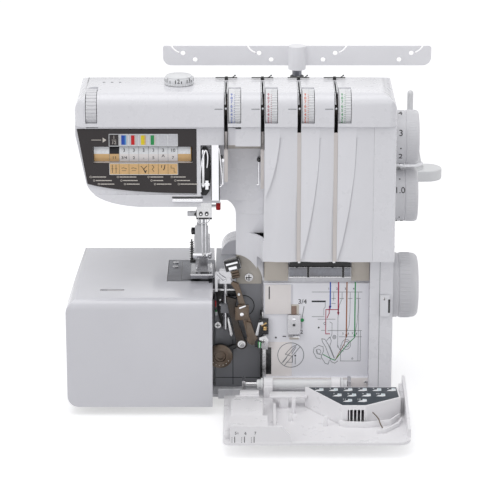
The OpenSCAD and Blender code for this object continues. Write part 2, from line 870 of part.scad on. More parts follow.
module cover_screws() {
    color("silver") {
        face_screw([col_l + 11.6, bulk_y - 2.4, 115], 3.6);
        face_screw([plate_r + 3, bulk_y - 2.4, 70], 2.8);
        face_screw([69.7, chart_y - 3, 19], 3.2);
        // Screws of the rear cover
        for (x = [col_r - 18, col_r - 100], z = [60, seam_z - 30]) {
            mirror([0, 1, 0]) face_screw([x, -body_back, z], 3.2);
        }
    }
}

module sewing_lamp() {
    color("lightyellow") {
        block([needle_x - 44, needle_y - 4, head_z - 3], [needle_x - 20, needle_y + 12, head_z]);
    }
}

// A solid of revolution about the X axis, from a section drawn in (radius, X)
module spin_x(p) {
    translate(p) rotate([0, 90, 0]) rotate_extrude($fn = 96) children();
}

module main_shaft() {
    color("silver") {
        bar_x([col_l + 3, 0, shaft_z], shaft_d / 2, col_r + handwheel_w - 6 - col_l);
        // Crank of the needle drive
        bar_x([col_l + 3.5, 0, shaft_z], 12, plate_x[0] - col_l - 6);
        // Collar behind the left bush
        bar_x([plate_x[0] + frame_t + 2, 0, shaft_z], shaft_d / 2 + 3, 5);
        difference() {
            bar_x([pulley_x, 0, shaft_z], big_pulley_r + 1.5, pulley_w);
            difference() {
                bar_x([pulley_x + 1.5, 0, shaft_z], big_pulley_r + 3, pulley_w - 3);
                bar_x([pulley_x, 0, shaft_z], big_pulley_r, pulley_w);
            }
            for (a = [0:60:300]) {
                bar_x([pulley_x - 1, 17 * cos(a), shaft_z + 17 * sin(a)], 4.5, pulley_w + 2);
            }
        }
    }
}

module handwheel() {
    color("gainsboro") spin_x([col_r + gap, 0, shaft_z]) difference() {
        round_rect([shaft_d / 2 + run_fit, 0], [handwheel_d / 2, handwheel_w], tr = 5);
        translate([shaft_d / 2 + 5, -1]) square([handwheel_d / 2 - shaft_d / 2 - 8.4, handwheel_w - 3]);
    }
}

module setting_dial(z) {
    color("gainsboro") {
        spin_x([col_r + gap, dial_y, z]) difference() {
            round_rect([0, 0], [dial_d / 2, dial_w], tr = 3);
            translate([6, -1]) square([dial_d / 2 - 8.6, dial_w - 2]);
        }
        bar_x([plate_x[1] - 1, dial_y, z], 4, col_r + gap + 2 - plate_x[1]);
    }
}

module stitch_length_dial() { setting_dial(length_dial_z); }
module differential_dial() { setting_dial(feed_dial_z); }

module power_switch() {
    color("gainsboro") difference() {
        bar_y([col_r - 3.5, -26, 135], 7.5, 12);
        bar_y([col_r + 11, -27, 135], 9, 14);
    }
}

module pressure_knob() {
    color("whitesmoke") {
        bar_z([needle_x - 20.5, -35, top_z + gap], 12.8, 6);
        bar_z([needle_x - 20.5, -35, top_z + gap + 6], 11.6, 1.2);
        bar_z([needle_x - 20.5, -35, top_z - 12], 4.5, 13);
    }
}

module thumb_wheel(x, w, teeth) {
    difference() {
        bar_x([x, wheel_y, wheel_z], wheel_r, w);
        bar_x([x - 1, wheel_y, wheel_z], axle_d / 2 + run_fit, w + 2);
        for (i = [1:teeth]) {
            translate([x, wheel_y, wheel_z]) rotate([i * 360 / teeth, 0, 0])
                bar_x([w / 2, 0, wheel_r + 0.3], 0.9, w);
        }
    }
}

module tension_dial(i) { color("white") thumb_wheel(slot_x[i] + 2 + gap, tension_w, 40); }
module tension_dial_1() { tension_dial(0); }
module tension_dial_2() { tension_dial(1); }
module tension_dial_3() { tension_dial(2); }
module tension_dial_4() { tension_dial(3); }

module program_wheel() {
    color("white") {
        difference() {
            bar_x([program_x, wheel_y, wheel_z], wheel_r, program_w);
            bar_x([program_x - 1, wheel_y, wheel_z], axle_d / 2 + run_fit, program_w + 2);
            for (i = [1:30]) {
                translate([program_x - 1, wheel_y, wheel_z]) rotate([i * 12, 0, 0])
                    bar_x([0, 0, wheel_r + 0.3], 1, program_w + 2);
            }
        }
        difference() {
            bar_x([program_x + program_w, wheel_y, wheel_z], 4, 5);
            bar_x([program_x, wheel_y, wheel_z], axle_d / 2 + run_fit, program_w + 9);
        }
    }
}

module program_drum() {
    x0 = program_x + program_w + 5.5;
    color("wheat") difference() {
        union() {
            bar_x([x0, drum_y, drum_z], 11.5, plate_r - 19 - x0);
            bar_x([x0 - 4, drum_y, drum_z], 4, 5);
        }
        bar_x([x0 - 6, drum_y, drum_z], 2 + run_fit, big);
    }
}

module needle_bar() {
    color("silver") bar_z([needle_x, needle_y, head_z - 12], needle_bar_d / 2, 103);
}

module needle_clamp() {
    color("gray") difference() {
        union() {
            block([needle_x - 6.3, needle_y - 6, head_z - 25], [needle_x + 7, needle_y + 6, head_z - 4.5]);
            bar_x([needle_x + 7, needle_y, head_z - 14.5], 1.3, 4);
            bar_x([needle_x + 11, needle_y, head_z - 14.5], 3.2, 3.6);
            for (x = [-2.6, 2.6]) {
                bar_y([needle_x + x, needle_y - 7.4, head_z - 20], 1.7, 2);
            }
        }
        bar_z([needle_x, needle_y, head_z - 12], needle_bar_d / 2 + run_fit, 20);
        for (x = [-1.6, 1.6]) {
            bar_z([needle_x + x, needle_y, head_z - 30], 0.9 + run_fit, 14);
        }
    }
}

module needles() {
    color("silver") for (x = [-1.6, 1.6]) {
        bar_z([needle_x + x, needle_y, head_z - 30], 0.9, 13);
        bar_z([needle_x + x, needle_y, head_z - 58], 0.5, 28);
        translate([needle_x + x, needle_y, head_z - 61]) cylinder(r1 = 0.1, r2 = 0.5, h = 3);
    }
}

module take_up_lever() {
    color("silver") difference() {
        union() {
            bar_x([needle_x - 1, head_f + 8.6, head_z + 18], 1.5, 7);
            along_x(needle_x - 0.5, needle_x + 1.5) {
                translate([head_f + 8.6, head_z + 18]) circle(3);
                polygon([[head_f + 6, head_z + 18], [head_f + 11, head_z + 18],
                    [head_f + 8, head_z + 50], [head_f + 4, head_z + 50]]);
            }
        }
        bar_x([needle_x - 3, head_f + 6, head_z + 46], 1, 9);
    }
}

module upper_looper() {
    p = upper_pivot;
    y = bulk_y - 19;
    color("rosybrown") {
        bar_y([p.x, y, p.z], 2.5, 18.6);
        bar_y([p.x, y, p.z], 5, 4);
        along_y(y, y + 4) polygon([[p.x - 4, p.z], [p.x + 4, p.z], [p.x - 12, p.z + 52],
            [p.x - 17, p.z + 54], [p.x - 19, p.z + 52], [p.x - 15, p.z + 46]]);
    }
    color("silver") block([p.x - 13, y - 2.4, p.z + 21], [p.x - 3, y, p.z + 33]);
}

module lower_looper() {
    p = lower_pivot;
    y = bulk_y - 14.5;
    color("gray") {
        bar_y([p.x, y, p.z], 2.5, 14.1);
        bar_y([p.x, y, p.z], 5, 2.7);
        along_y(y, y + 2.7) polygon([[p.x - 4, p.z], [p.x + 4, p.z], [p.x - 6, p.z + 30],
            [p.x - 4, p.z + 42], [p.x - 14, p.z + 45], [p.x - 11, p.z + 30]]);
    }
}

module upper_knife() {
    x = plate_r + 9.6;
    y = bulk_y - 11;
    color("silver") {
        bar_z([x, y + 4, 68], 2.2, bed_z - 62);
        block([x - 5, y, bed_z + 4], [x + 6, y + 7, bed_z + 16]);
        block([plate_r + 0.6, y, bed_z - 3.5], [plate_r + 3, y + 7, bed_z + 13]);
        block([plate_r + 3, y, bed_z + 8], [x - 5, y + 7, bed_z + 13]);
    }
    color("black") translate([x + 1, y - 1, bed_z + 14.8]) rotate([0, -15, 0]) cube([14, 9, 9]) ;
}

module feed_dogs() {
    color("silver") {
        for (x = [needle_x - 11, needle_x - 5.6, needle_x + 1.8]) {
            difference() {
                block([x + 0.7, needle_y + 8.5, bed_z - 12], [x + 3.3, needle_y + 26, bed_z - 0.3]);
                for (i = [0:7]) {
                    translate([x, needle_y + 9.5 + i * 2.1, bed_z + 0.2]) rotate([45, 0, 0]) cube([4, 1, 1]);
                }
            }
        }
        difference() {
            block([needle_x - 11, needle_y + 9, bed_z - 24], [needle_x + 6, needle_y + 25, bed_z - 12]);
            bar_y([needle_x - 2.5, needle_y, bed_z - 18.5], 2 + run_fit, 50);
        }
    }
}

module presser_bar() {
    color("silver") bar_z([presser_x, presser_y, bed_z + 20.5], presser_bar_d / 2, head_z + 80 - bed_z - 20.5);
}

module presser_foot() {
    color("silver") difference() {
        union() {
            // Sole with a raised toe
            along_x(needle_x - 12, needle_x + 8) polygon([[needle_y - 9, bed_z + 1], [presser_y + 10, bed_z + 1],
                [presser_y + 10, bed_z + 3.4], [needle_y - 10, bed_z + 3.4], [needle_y - 15, bed_z + 8],
                [needle_y - 16, bed_z + 6.5], [needle_y - 13, bed_z + 2.4]]);
            block([presser_x - 6, presser_y - 5, bed_z + 3.4], [presser_x + 5, presser_y + 4, bed_z + 14.5]);
            // Foot holder
            block([presser_x - 7, presser_y - 8, bed_z + 14.5], [presser_x + 7, presser_y + 6, bed_z + 33.5]);
        }
        block([needle_x - 3.4, needle_y - 4, 0], [needle_x + 3.4, needle_y + 4.5, bed_z + 12]);
        bar_z([presser_x, presser_y, bed_z + 20.5], presser_bar_d / 2 + run_fit, 20);
    }
}

module presser_lifter() {
    z = head_z + 10;
    color("gainsboro") {
        bar_x([presser_x - 10, lifter_y, z], 2, 20);
        along_x(presser_x - 4, presser_x + 4) {
            translate([lifter_y, z]) circle(5);
            polygon([[lifter_y, z - 4], [lifter_y + 38, z - 12], [lifter_y + 41, z - 8], [lifter_y, z + 4]]);
        }
    }
}

// The looper cover lies open in front of the machine
module looper_cover() {
    floor = door_z + door_skin;
    door_r = door_l + door_w;
    ledge_f = door_f + 0.4;
    color("white") difference() {
        union() {
            along_z(door_z, floor) round_rect([door_l, door_f], [door_r + 2.6, hinge_y - 2.5], 6, 12, 0, 0);
            // Right side wall
            along_x(door_r, door_r + 2.6) polygon(concat([[hinge_y - 6, door_z], [hinge_y - 6, hinge_z + 10.6]],
                quad([hinge_y - 14, hinge_z + 11], [hinge_y - 60, hinge_z + 8], [door_f + 12, door_z + 10], 8),
                [[door_f + 12, door_z]]));
            // Ledge of the free edge
            along_y(ledge_f, ledge_f + door_skin) polygon([[door_l + 6, door_z], [chart_l + 22, door_z],
                [chart_l + 22, door_z + 10], [chart_l + 15, door_z + 17], [door_l + 6, door_z + 17]]);
            block([door_l + 6, ledge_f, door_z + 14.5], [chart_l + 3, door_f + 26, door_z + 17]);
            block([door_l + 6, door_f + 23.5, floor], [chart_l + 3, door_f + 26, door_z + 17]);
            // Knuckles on the carriage
            for (x = knuckle_x) {
                block([x, hinge_y - 9, floor - 1], [x + 8, hinge_y - 3, hinge_z]);
                bar_x([x, hinge_y, hinge_z], 6.2, 8);
            }
            // Stiffening ribs and posts
            block([door_l + 10, hinge_y - 22, floor - 1], [chart_l - 4, hinge_y - 19.5, hinge_z - 3]);
            block([chart_l + 8, door_f + 20, floor - 1], [chart_l + 10.5, hinge_y - 12, hinge_z - 5]);
        }
        for (x = knuckle_x) {
            bar_x([x - 1, hinge_y, hinge_z], sleeve_r + run_fit, 10);
        }
    }
}

// Raised shelf with the picture strip and the accessory box under it
module cover_shelf() {
    floor = door_z + door_skin;
    top = hinge_z + 8.5;
    x = door_l + door_w - 86;
    y = hinge_y - 29;
    rim = [[x, y], [x + 81, y], [x + 82.5, y - 25], [x + 52, y - 45], [x + 31, y - 45]];
    core = [[x + 5, y - 1.8], [x + 79, y - 1.8], [x + 80.4, y - 24], [x + 51.4, y - 43.2], [x + 31.8, y - 43.2]];
    color("white") difference() {
        along_z(floor, top) polygon(rim);
        along_z(floor - 1, top - 2) polygon(core);
        // Way into the accessory box
        block([x + 36, y - 50, floor + 3], [x + 50, y - 40, top - 4]);
    }
}

module hinge_carriage() {
    color("silver") difference() {
        union() {
            bar_x([sleeve_l, hinge_y, hinge_z], sleeve_r, sleeve_len);
            for (x = [knuckle_x[0] - 2.4, knuckle_x[1] + 8.4]) {
                bar_x([x, hinge_y, hinge_z], sleeve_r + 1.4, 2);
            }
        }
        bar_x([sleeve_l - 1, hinge_y, hinge_z], hinge_d / 2 + run_fit, sleeve_len + 2);
    }
}

module table_form(o) {
    intersection() {
        along_y(table_f + o, table_b - o)
            round_rect([table_l + o, base_z - o], [table_r + o, bed_z - o], bl = 10 - o, tl = 12 - o);
        along_x(table_l - 1, table_r + 1)
            round_rect([table_f + o, base_z - 1], [table_b - o, bed_z - o], tl = 9 - o, tr = 9 - o);
        along_z(0, bed_z) polygon([[table_l + o, table_f + o], [table_r + o, table_f + o],
            [table_r + o, table_b - o], [table_l + 8.5 + o, table_b - o]]);
    }
}

module extension_table() {
    color("white") difference() {
        table_form(0);
        table_form(table_wall);
        block([table_l + 12, table_f + 10, -1], [big, table_b - 10, base_z + table_wall + 1]);
        block([plate_l - gap, plate_f - gap, bed_z - 9], [big, plate_b + gap, big]);
        // Place of the lower knife
        block([plate_r - 4.5 - gap, plate_f - 5, bed_z - 17], [big, plate_f + 9, big]);
        // Recess of the release catch
        block([table_l + 29, table_f + 27, bed_z - 1.4], [table_l + 50, table_f + 31, big]);
    }
}

module stitch_selector() {
    color("silver") {
        block([chart_l + 21.4, chart_y - 3.4, 66], [chart_l + 32.8, chart_y - 0.4, 84]);
        block([chart_l + 25, chart_y - 1, 74], [chart_l + 29, chart_y + 2, 82]);
        bar_y([chart_l + 27, chart_y - 4.4, 75], 1.8, 2);
    }
}

module cutting_width_dial() {
    p = cutter_pivot;
    color("dimgray") {
        bar_y([p.x, bulk_y - 9, p.z], 10, 5);
        bar_y([p.x, bulk_y - 5, p.z], 2.5, 4.6);
        along_y(bulk_y - 9, bulk_y - 5) polygon([[p.x + 2, p.z + 6], [p.x + 6, p.z + 2],
            [p.x + 13.5, p.z + 7], [p.x + 11, p.z + 10]]);
    }
}

base_pan();
rubber_feet();
machine_frame();
free_arm();
rear_cover();
ribbed_cover();
face_cover();
top_cover();
display_panel();
looper_bulkhead();
chart_panel();
needle_plate();
lower_knife();
looper_thread_guides();
top_thread_guides();
tension_discs();
face_thread_guides();
spool_tray();
spool_pins();
cone_holders();
mast_tube();
motor();
drive_belts();
shaft_bushes();
power_inlet();
hinge_rod();
cover_screws();
sewing_lamp();
main_shaft();
handwheel();
motor_pulley();
needle_bar();
needle_clamp();
needles();
upper_looper();
lower_looper();
upper_knife();
feed_dogs();
take_up_lever();
presser_bar();
presser_foot();
presser_lifter();
tension_dial_1();
tension_dial_2();
tension_dial_3();
tension_dial_4();
stitch_length_dial();
differential_dial();
pressure_knob();
program_wheel();
program_drum();
looper_cover();
cover_shelf();
hinge_carriage();
extension_table();
mast_middle();
thread_guide_top();
stitch_selector();
power_switch();
cutting_width_dial();
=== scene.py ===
import json
import math

import bmesh
import bpy
from mathutils import Matrix, Vector


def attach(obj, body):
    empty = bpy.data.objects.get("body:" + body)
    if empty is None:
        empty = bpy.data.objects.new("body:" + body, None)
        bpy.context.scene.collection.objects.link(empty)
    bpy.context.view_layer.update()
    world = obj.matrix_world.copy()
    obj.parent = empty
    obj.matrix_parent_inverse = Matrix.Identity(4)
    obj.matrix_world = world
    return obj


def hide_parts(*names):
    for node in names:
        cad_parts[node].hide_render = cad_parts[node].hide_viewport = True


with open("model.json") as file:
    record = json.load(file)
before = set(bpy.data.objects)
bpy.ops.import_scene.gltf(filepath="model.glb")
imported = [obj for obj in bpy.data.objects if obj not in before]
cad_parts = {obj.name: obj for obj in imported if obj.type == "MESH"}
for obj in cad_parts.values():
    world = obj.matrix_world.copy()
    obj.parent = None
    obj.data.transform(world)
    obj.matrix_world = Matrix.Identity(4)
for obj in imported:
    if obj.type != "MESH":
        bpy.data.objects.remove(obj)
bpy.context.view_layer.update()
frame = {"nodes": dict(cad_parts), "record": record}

# Sizes in millimetres. The origin is on the table under the main shaft.
MM = 0.001
TOP_Z, BED_Z, HEAD_Z, SEAM_Z, RIBBED_Z = 290.5, 107.5, 188.5, 262.0, 139.5
COL_L, COL_R, COL_F = -12.5, 126.0, -70.0
HEAD_F, LID_F = -66.0, -73.5
BACK, ARM_BACK, FLOOR_Z = 77.0, 60.0, 11.0
PLATE_L, PLATE_R, PLATE_F, PLATE_B = -73.6, -31.6, -27.0, 33.0
TABLE_L, TABLE_F = -161.0, -80.0
NEEDLE_X, NEEDLE_Y, PRESSER_X, PRESSER_Y = -41.0, -15.0, -43.0, 2.0
BULK_Y, CHART_Y, CHART_L = -35.0, -48.0, 12.0
PILLAR_L, PILLAR_Y = 105.5, -54.0
HINGE_Y, HINGE_Z, DOOR_Z = -66.0, 24.5, 12.0
DOOR_L, DOOR_R, DOOR_F = -23.0, 134.0, -178.0
SLOT_X = [-20.6, 10.8, 42.2, 73.6]
WHEEL_Y, WHEEL_Z, WHEEL_R = -58.5, 275.5, 16.0
DRUM_Y, DRUM_Z, DRUM_R = -52.5, 235.3, 11.5
DIAL_Y, LENGTH_Z, FEED_Z = -5.0, 234.6, 182.0
SHAFT_Z = 95.0
KNOB_X, KNOB_Y = -61.5, -35.0
TRAY_Y, TRAY_Z, TRAY_T, MAST_X = 128.0, 158.0, 10.5, 43.8
PIN_X = [-62.4, 8.4, 79.2, 150.0]
GUIDE_Z, GUIDE_H = 267.5, 18.5


# ---------------------------------------------------------------- materials

def srgb(r, g, b):
    """An 8-bit screen colour as the linear colour that a shader takes."""
    def linear(c):
        c /= 255
        return c / 12.92 if c <= 0.04045 else ((c + 0.055) / 1.055) ** 2.4
    return (linear(r), linear(g), linear(b), 1.0)


def shade(colour, k):
    return tuple(min(1.0, c * k) for c in colour[:3]) + (1.0,)


class Finish:
    """A material whose nodes are added one at a time."""

    def __init__(self, name):
        self.mat = bpy.data.materials.new(name)
        self.mat.use_nodes = True
        self.nodes, self.links = self.mat.node_tree.nodes, self.mat.node_tree.links
        self.shader = self.nodes["Principled BSDF"]
        self.place = self.nodes.new("ShaderNodeTexCoord").outputs["Object"]

    def add(self, kind, inputs=(), **settings):
        node = self.nodes.new(kind)
        for key, value in settings.items():
            setattr(node, key, value)
        for key, value in dict(inputs).items():
            if isinstance(value, bpy.types.NodeSocket):
                self.links.new(value, node.inputs[key])
            else:
                node.inputs[key].default_value = value
        return node

    def noise(self, scale, detail=3, rough=0.55, stretch=None):
        place = self.place
        if stretch:
            place = self.add("ShaderNodeMapping", {"Vector": place, "Scale": stretch}).outputs[0]
        return self.add("ShaderNodeTexNoise", {"Vector": place, "Scale": scale, "Detail": detail,
                                               "Roughness": rough}).outputs["Fac"]

    def spread(self, value, low, high, start=0.3, end=0.7):
        return self.add("ShaderNodeMapRange", {"Value": value, "From Min": start, "From Max": end,
                                               "To Min": low, "To Max": high}).outputs[0]

    def mix(self, fac, a, b):
        node = self.add("ShaderNodeMix", data_type="RGBA")
        for key, value in (("Factor", fac), ("A", a), ("B", b)):
            socket = [s for s in node.inputs if s.name == key and s.enabled][0]
            if isinstance(value, bpy.types.NodeSocket):
                self.links.new(value, socket)
            else:
                socket.default_value = value
        return [s for s in node.outputs if s.enabled][0]

    def set(self, **sockets):
        for key, value in sockets.items():
            self.shader.inputs[key.replace("_", " ")].default_value = value

    def to(self, socket, key):
        self.links.new(socket, self.shader.inputs[key])

    def bump(self, height, strength, distance):
        node = self.add("ShaderNodeBump", {"Height": height, "Strength": strength, "Distance": distance})
        self.to(node.outputs["Normal"], "Normal")


def moulded(name, colour, rough, grain=0.25, grain_scale=1400, tone=0.05, coat=0.0, crease_shade=0.0, spec=0.5):
    """Moulded plastic: faint cloudy tone, uneven gloss, a fine grain and, when asked, painted shade in its
    creases.
    """
    m = Finish(name)
    m.set(Specular_IOR_Level=spec, Coat_Weight=coat, Coat_Roughness=0.08)
    cloud = m.noise(22, 4)
    base = m.mix(m.spread(cloud, 0.0, 1.0), shade(colour, 1 - tone), shade(colour, 1 + tone / 2))
    # Painted shade: ambient occlusion darkens creases, corners and recesses towards a darker copy of the
    # colour.
    if crease_shade:
        crease = m.add("ShaderNodeAmbientOcclusion", {"Distance": 0.006}, samples=4).outputs["AO"]
        base = m.mix(m.spread(crease, crease_shade, 0.0, 0.1, 0.75), base, shade(colour, 0.45))
    m.to(base, "Base Color")
    m.to(m.spread(m.noise(95, 5), rough * 0.85, rough * 1.2), "Roughness")
    m.bump(m.noise(grain_scale, 2), grain, 0.00004)
    return m.mat


def metal(name, colour, rough, stretch=(1, 1, 1), scale=900, scratch=0.35, tone=0.1, stain=0.0):
    """Worked metal with fine marks along one axis and patches of oil."""
    m = Finish(name)
    m.set(Metallic=1.0)
    marks = m.noise(scale, 3, 0.6, stretch)
    patch = m.noise(60, 4)
    base = m.mix(m.spread(marks, 0.0, 1.0), shade(colour, 1 - tone), shade(colour, 1 + tone))
    if stain:
        base = m.mix(m.spread(patch, 0.0, stain, 0.45, 0.75), base, shade(srgb(96, 70, 48), 1.0))
    m.to(base, "Base Color")
    both = m.add("ShaderNodeMath", {0: marks, 1: patch}, operation="ADD").outputs[0]
    m.to(m.spread(both, rough * 0.7, rough * 1.4, 0.7, 1.3), "Roughness")
    m.bump(marks, scratch, 0.00003)
    return m.mat


def ink(name, colour, rough=0.45):
    """Printed or pad-printed ink: even colour with a slightly broken edge tone."""
    m = Finish(name)
    m.set(Specular_IOR_Level=0.35)
    m.to(m.mix(m.spread(m.noise(700, 2), 0.0, 1.0), shade(colour, 0.93), shade(colour, 1.05)), "Base Color")
    m.to(m.spread(m.noise(160, 3), rough * 0.9, rough * 1.15), "Roughness")
    m.bump(m.noise(2400, 2), 0.15, 0.00002)
    return m.mat


WHITE = srgb(229, 229, 233)
look = {
    "casing": moulded("casing_white", WHITE, 0.28, grain=0.18, coat=0.15, tone=0.02, crease_shade=0.06),
    "ribbed": moulded("ribbed_white", srgb(228, 228, 232), 0.33, grain=0.25, tone=0.02, crease_shade=0.08),
    "table": moulded("table_white", srgb(214, 214, 219), 0.2, grain=0.1, coat=0.35, tone=0.02, crease_shade=0.15),
    "door": moulded("door_white", srgb(238, 237, 239), 0.3, grain=0.18, tone=0.02, crease_shade=0.12),
    "tray": moulded("tray_white", srgb(228, 229, 230), 0.34, grain=0.2, tone=0.02, crease_shade=0.2),
    "guide": moulded("guide_grey", srgb(238, 238, 241), 0.36, grain=0.3, tone=0.02, crease_shade=0.1),
    "dial": moulded("dial_grey", srgb(218, 218, 221), 0.34, grain=0.35, tone=0.02, crease_shade=0.3),
    "knob": moulded("knob_white", srgb(226, 227, 229), 0.34, grain=0.25, crease_shade=0.35),
    "arm": moulded("arm_grey", srgb(202, 203, 206), 0.42, grain=0.5, crease_shade=0.4),
    "bulkhead": moulded("bulkhead_grey", srgb(146, 147, 152), 0.42, grain=0.5, grain_scale=900, tone=0.1,
                        crease_shade=0.6),
    "black": moulded("black_moulding", srgb(24, 24, 26), 0.4, grain=0.5, tone=0.2),
    "gloss_black": moulded("black_gloss", srgb(16, 16, 18), 0.16, grain=0.1, tone=0.2, coat=0.3),
    "panel": moulded("dark_panel", srgb(27, 17, 19), 0.3, grain=0.08, tone=0.12, coat=0.05),
    "chart": moulded("chart_grey", srgb(240, 240, 245), 0.4, grain=0.25, tone=0.02, crease_shade=0.1),
    "label": moulded("label_pale", srgb(238, 233, 231), 0.5, grain=0.4, grain_scale=2200, tone=0.04),
    # beige: plain beige, and on the quarter plate painted shade
    "beige": moulded("beige_and_painted_shade", srgb(206, 200, 190), 0.4, grain=0.35, crease_shade=0.4),
    "pad": moulded("slate_pad", srgb(52, 60, 68), 0.45, grain=0.5, tone=0.15),
    "rubber": moulded("rubber_black", srgb(30, 30, 31), 0.75, grain=0.9, grain_scale=700, tone=0.2, spec=0.3),
    "drum": moulded("drum_tan", srgb(219, 181, 128), 0.42, grain=0.2, tone=0.05),
    # hollow: a tan-grey that is painted shade, for recesses
    "hollow": moulded("hollow_painted_shade", srgb(198, 191, 181), 0.55, grain=0.3, tone=0.06),
    # groove: casing white darkened as painted shade in the grooves
    "groove": moulded("groove_painted_shade", srgb(212, 206, 203), 0.4, grain=0.2, tone=0.03),
    # facet: a lighter white that is painted light on the ribbed cover's facets
    "facet": moulded("facet_painted_light", srgb(234, 234, 238), 0.3, grain=0.2, tone=0.02),
    "lens": moulded("lamp_lens", srgb(240, 238, 222), 0.3, grain=0.6, grain_scale=500),
    "red": moulded("red_moulding", srgb(196, 34, 36), 0.32, grain=0.2),
    "green": moulded("green_moulding", srgb(54, 142, 78), 0.34, grain=0.2),
    "chrome": metal("chrome", (0.84, 0.84, 0.86), 0.09, scale=220, scratch=0.06, tone=0.03),
    "steel": metal("steel_ground", (0.52, 0.52, 0.54), 0.3, (1, 14, 1), 420, 0.3, stain=0.12),
    "steel_up": metal("steel_drawn", (0.56, 0.56, 0.58), 0.26, (14, 14, 1), 420, 0.25, stain=0.08),
    "plate": metal("plate_steel", (0.20, 0.205, 0.225), 0.34, (1, 18, 1), 380, 0.35, stain=0.15),
    "oiled": metal("steel_oiled", (0.16, 0.13, 0.105), 0.36, (3, 3, 12), 260, 0.4, tone=0.2, stain=0.5),
    "soot": metal("steel_black", (0.06, 0.054, 0.05), 0.32, (3, 3, 12), 260, 0.4, tone=0.2, stain=0.3),
    "cast": metal("cast_grey", (0.42, 0.42, 0.43), 0.55, (1, 1, 1), 520, 0.8, tone=0.12, stain=0.2),
    "brass": metal("brass_worn", (0.60, 0.42, 0.2), 0.34, (1, 9, 1), 420, 0.3, stain=0.4),
    "screw": metal("screw_nickel", (0.62, 0.62, 0.63), 0.24, (1, 1, 1), 600, 0.2, stain=0.1),
    "ink_black": ink("ink_black", srgb(28, 28, 32)),
    "ink_grey": ink("ink_grey", srgb(128, 130, 134)),
    "ink_pale": ink("ink_pale", srgb(214, 208, 200)),
    "ink_red": ink("ink_red", srgb(206, 40, 44)),
    "ink_crimson": ink("ink_crimson", srgb(176, 30, 72)),
    "ink_orange": ink("ink_orange", srgb(222, 92, 44)),
    "ink_yellow": ink("ink_yellow", srgb(236, 214, 50)),
    "ink_green": ink("ink_green", srgb(48, 150, 86)),
    "ink_blue": ink("ink_blue", srgb(44, 84, 180)),
    "ink_sky": ink("ink_sky", srgb(96, 160, 214)),
    "ink_brown": ink("ink_brown", srgb(160, 100, 62)),
    "ink_white": ink("ink_white", srgb(236, 238, 240)),
    "ink_umber": ink("ink_umber", srgb(146, 124, 112)),
    "ink_cell": ink("ink_cell", srgb(212, 213, 217)),
    "ink_ice": ink("ink_ice", srgb(176, 200, 208)),
    "ink_tan": ink("ink_tan", srgb(222, 184, 132)),
}


# ---------------------------------------------------------------- shaping

SLOTS = {row["node"]: row["material_slot"] for row in frame["record"]["subparts"]}
BODY = {node: body for body, nodes in frame["record"]["behaviour"]["bodies"].items() for node in nodes}


def keep(bm, name, body, slot, finish, bevel=0.0, segments=2, sharp=32, over=()):
    """Makes a finished piece of a mesh that is drawn in millimetres."""
    bmesh.ops.recalc_face_normals(bm, faces=bm.faces)
    bmesh.ops.scale(bm, vec=(MM, MM, MM), verts=bm.verts)
    for face in bm.faces:
        face.smooth = True
    for edge in bm.edges:
        edge.smooth = len(edge.link_faces) == 2 and edge.calc_face_angle(0) < math.radians(sharp)
    mesh = bpy.data.meshes.new(name)
    bm.to_mesh(mesh)
    bm.free()
    piece = bpy.data.objects.new(name, mesh)
    bpy.context.scene.collection.objects.link(piece)
    for material in (finish if isinstance(finish, (list, tuple)) else [finish]):
        mesh.materials.append(look[material])
    if bevel:
        soften(piece, bevel, segments, sharp)
    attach(piece, body)
    if over:
        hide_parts(*over)
    return piece


def soften(piece, width, segments=2, sharp=32):
    """Rounds the sharp edges of a piece."""
    bevel = piece.modifiers.new("Soft edges", "BEVEL")
    bevel.width, bevel.segments = width * MM, segments
    bevel.limit_method, bevel.angle_limit = "ANGLE", math.radians(sharp)
    bevel.use_clamp_overlap, bevel.harden_normals = True, True


def dress(node, finish, bevel=0.4, segments=2, sharp=32):
    """A merged copy of a CAD solid, with soft edges and its own finish."""
    source = frame["nodes"][node]
    bm = bmesh.new()
    bm.from_mesh(source.data)
    bmesh.ops.remove_doubles(bm, verts=bm.verts, dist=1e-6)
    bmesh.ops.dissolve_degenerate(bm, edges=bm.edges, dist=1e-6)
    bmesh.ops.dissolve_limit(bm, angle_limit=math.radians(0.2), verts=bm.verts, edges=bm.edges)
    bmesh.ops.scale(bm, vec=(1 / MM,) * 3, verts=bm.verts)
    return keep(bm, node + "_form", BODY[node], SLOTS[node], finish, bevel, segments, sharp, (node,))


def paint(node, finish):
    """Gives a CAD solid whose shape is right its finish."""
    slots = frame["nodes"][node].material_slots
    if slots:
        for slot in slots:
            slot.material = look[finish]
    else:
        frame["nodes"][node].data.materials.append(look[finish])


def add_box(bm, lo, hi, r=0.0, seg=2):
    made = bmesh.ops.create_cube(bm, size=1.0)["verts"]
    size = [hi[i] - lo[i] for i in range(3)]
    bmesh.ops.scale(bm, vec=size, verts=made)
    bmesh.ops.translate(bm, vec=[(hi[i] + lo[i]) / 2 for i in range(3)], verts=made)
    if r:
        edges = list({e for v in made for e in v.link_edges})
        made = bmesh.ops.bevel(bm, geom=edges, offset=r, segments=seg, profile=0.5, affect="EDGES",
                               material=-1, clamp_overlap=True)["verts"]
    return made


def add_rod(bm, a, b, r, r2=None, n=24, soft=0.0):
    """A round bar from a to b, or a cone when r2 is given."""
    a, b = Vector(a), Vector(b)
    turn = Vector((0, 0, 1)).rotation_difference(b - a).to_matrix().to_4x4()
    made = bmesh.ops.create_cone(bm, cap_ends=True, segments=n, radius1=r, radius2=r if r2 is None else r2,
                                 depth=(b - a).length, matrix=Matrix.Translation((a + b) / 2) @ turn)["verts"]
    if soft:
        rims = [e for e in {e for v in made for e in v.link_edges}
                if any(len(f.verts) > 4 for f in e.link_faces)]
        bmesh.ops.bevel(bm, geom=rims, offset=soft, segments=2, profile=0.5, affect="EDGES", material=-1)
    return made


def add_ball(bm, p, r, n=16):
    return bmesh.ops.create_uvsphere(bm, u_segments=n, v_segments=n // 2, radius=r,
                                     matrix=Matrix.Translation(p))["verts"]


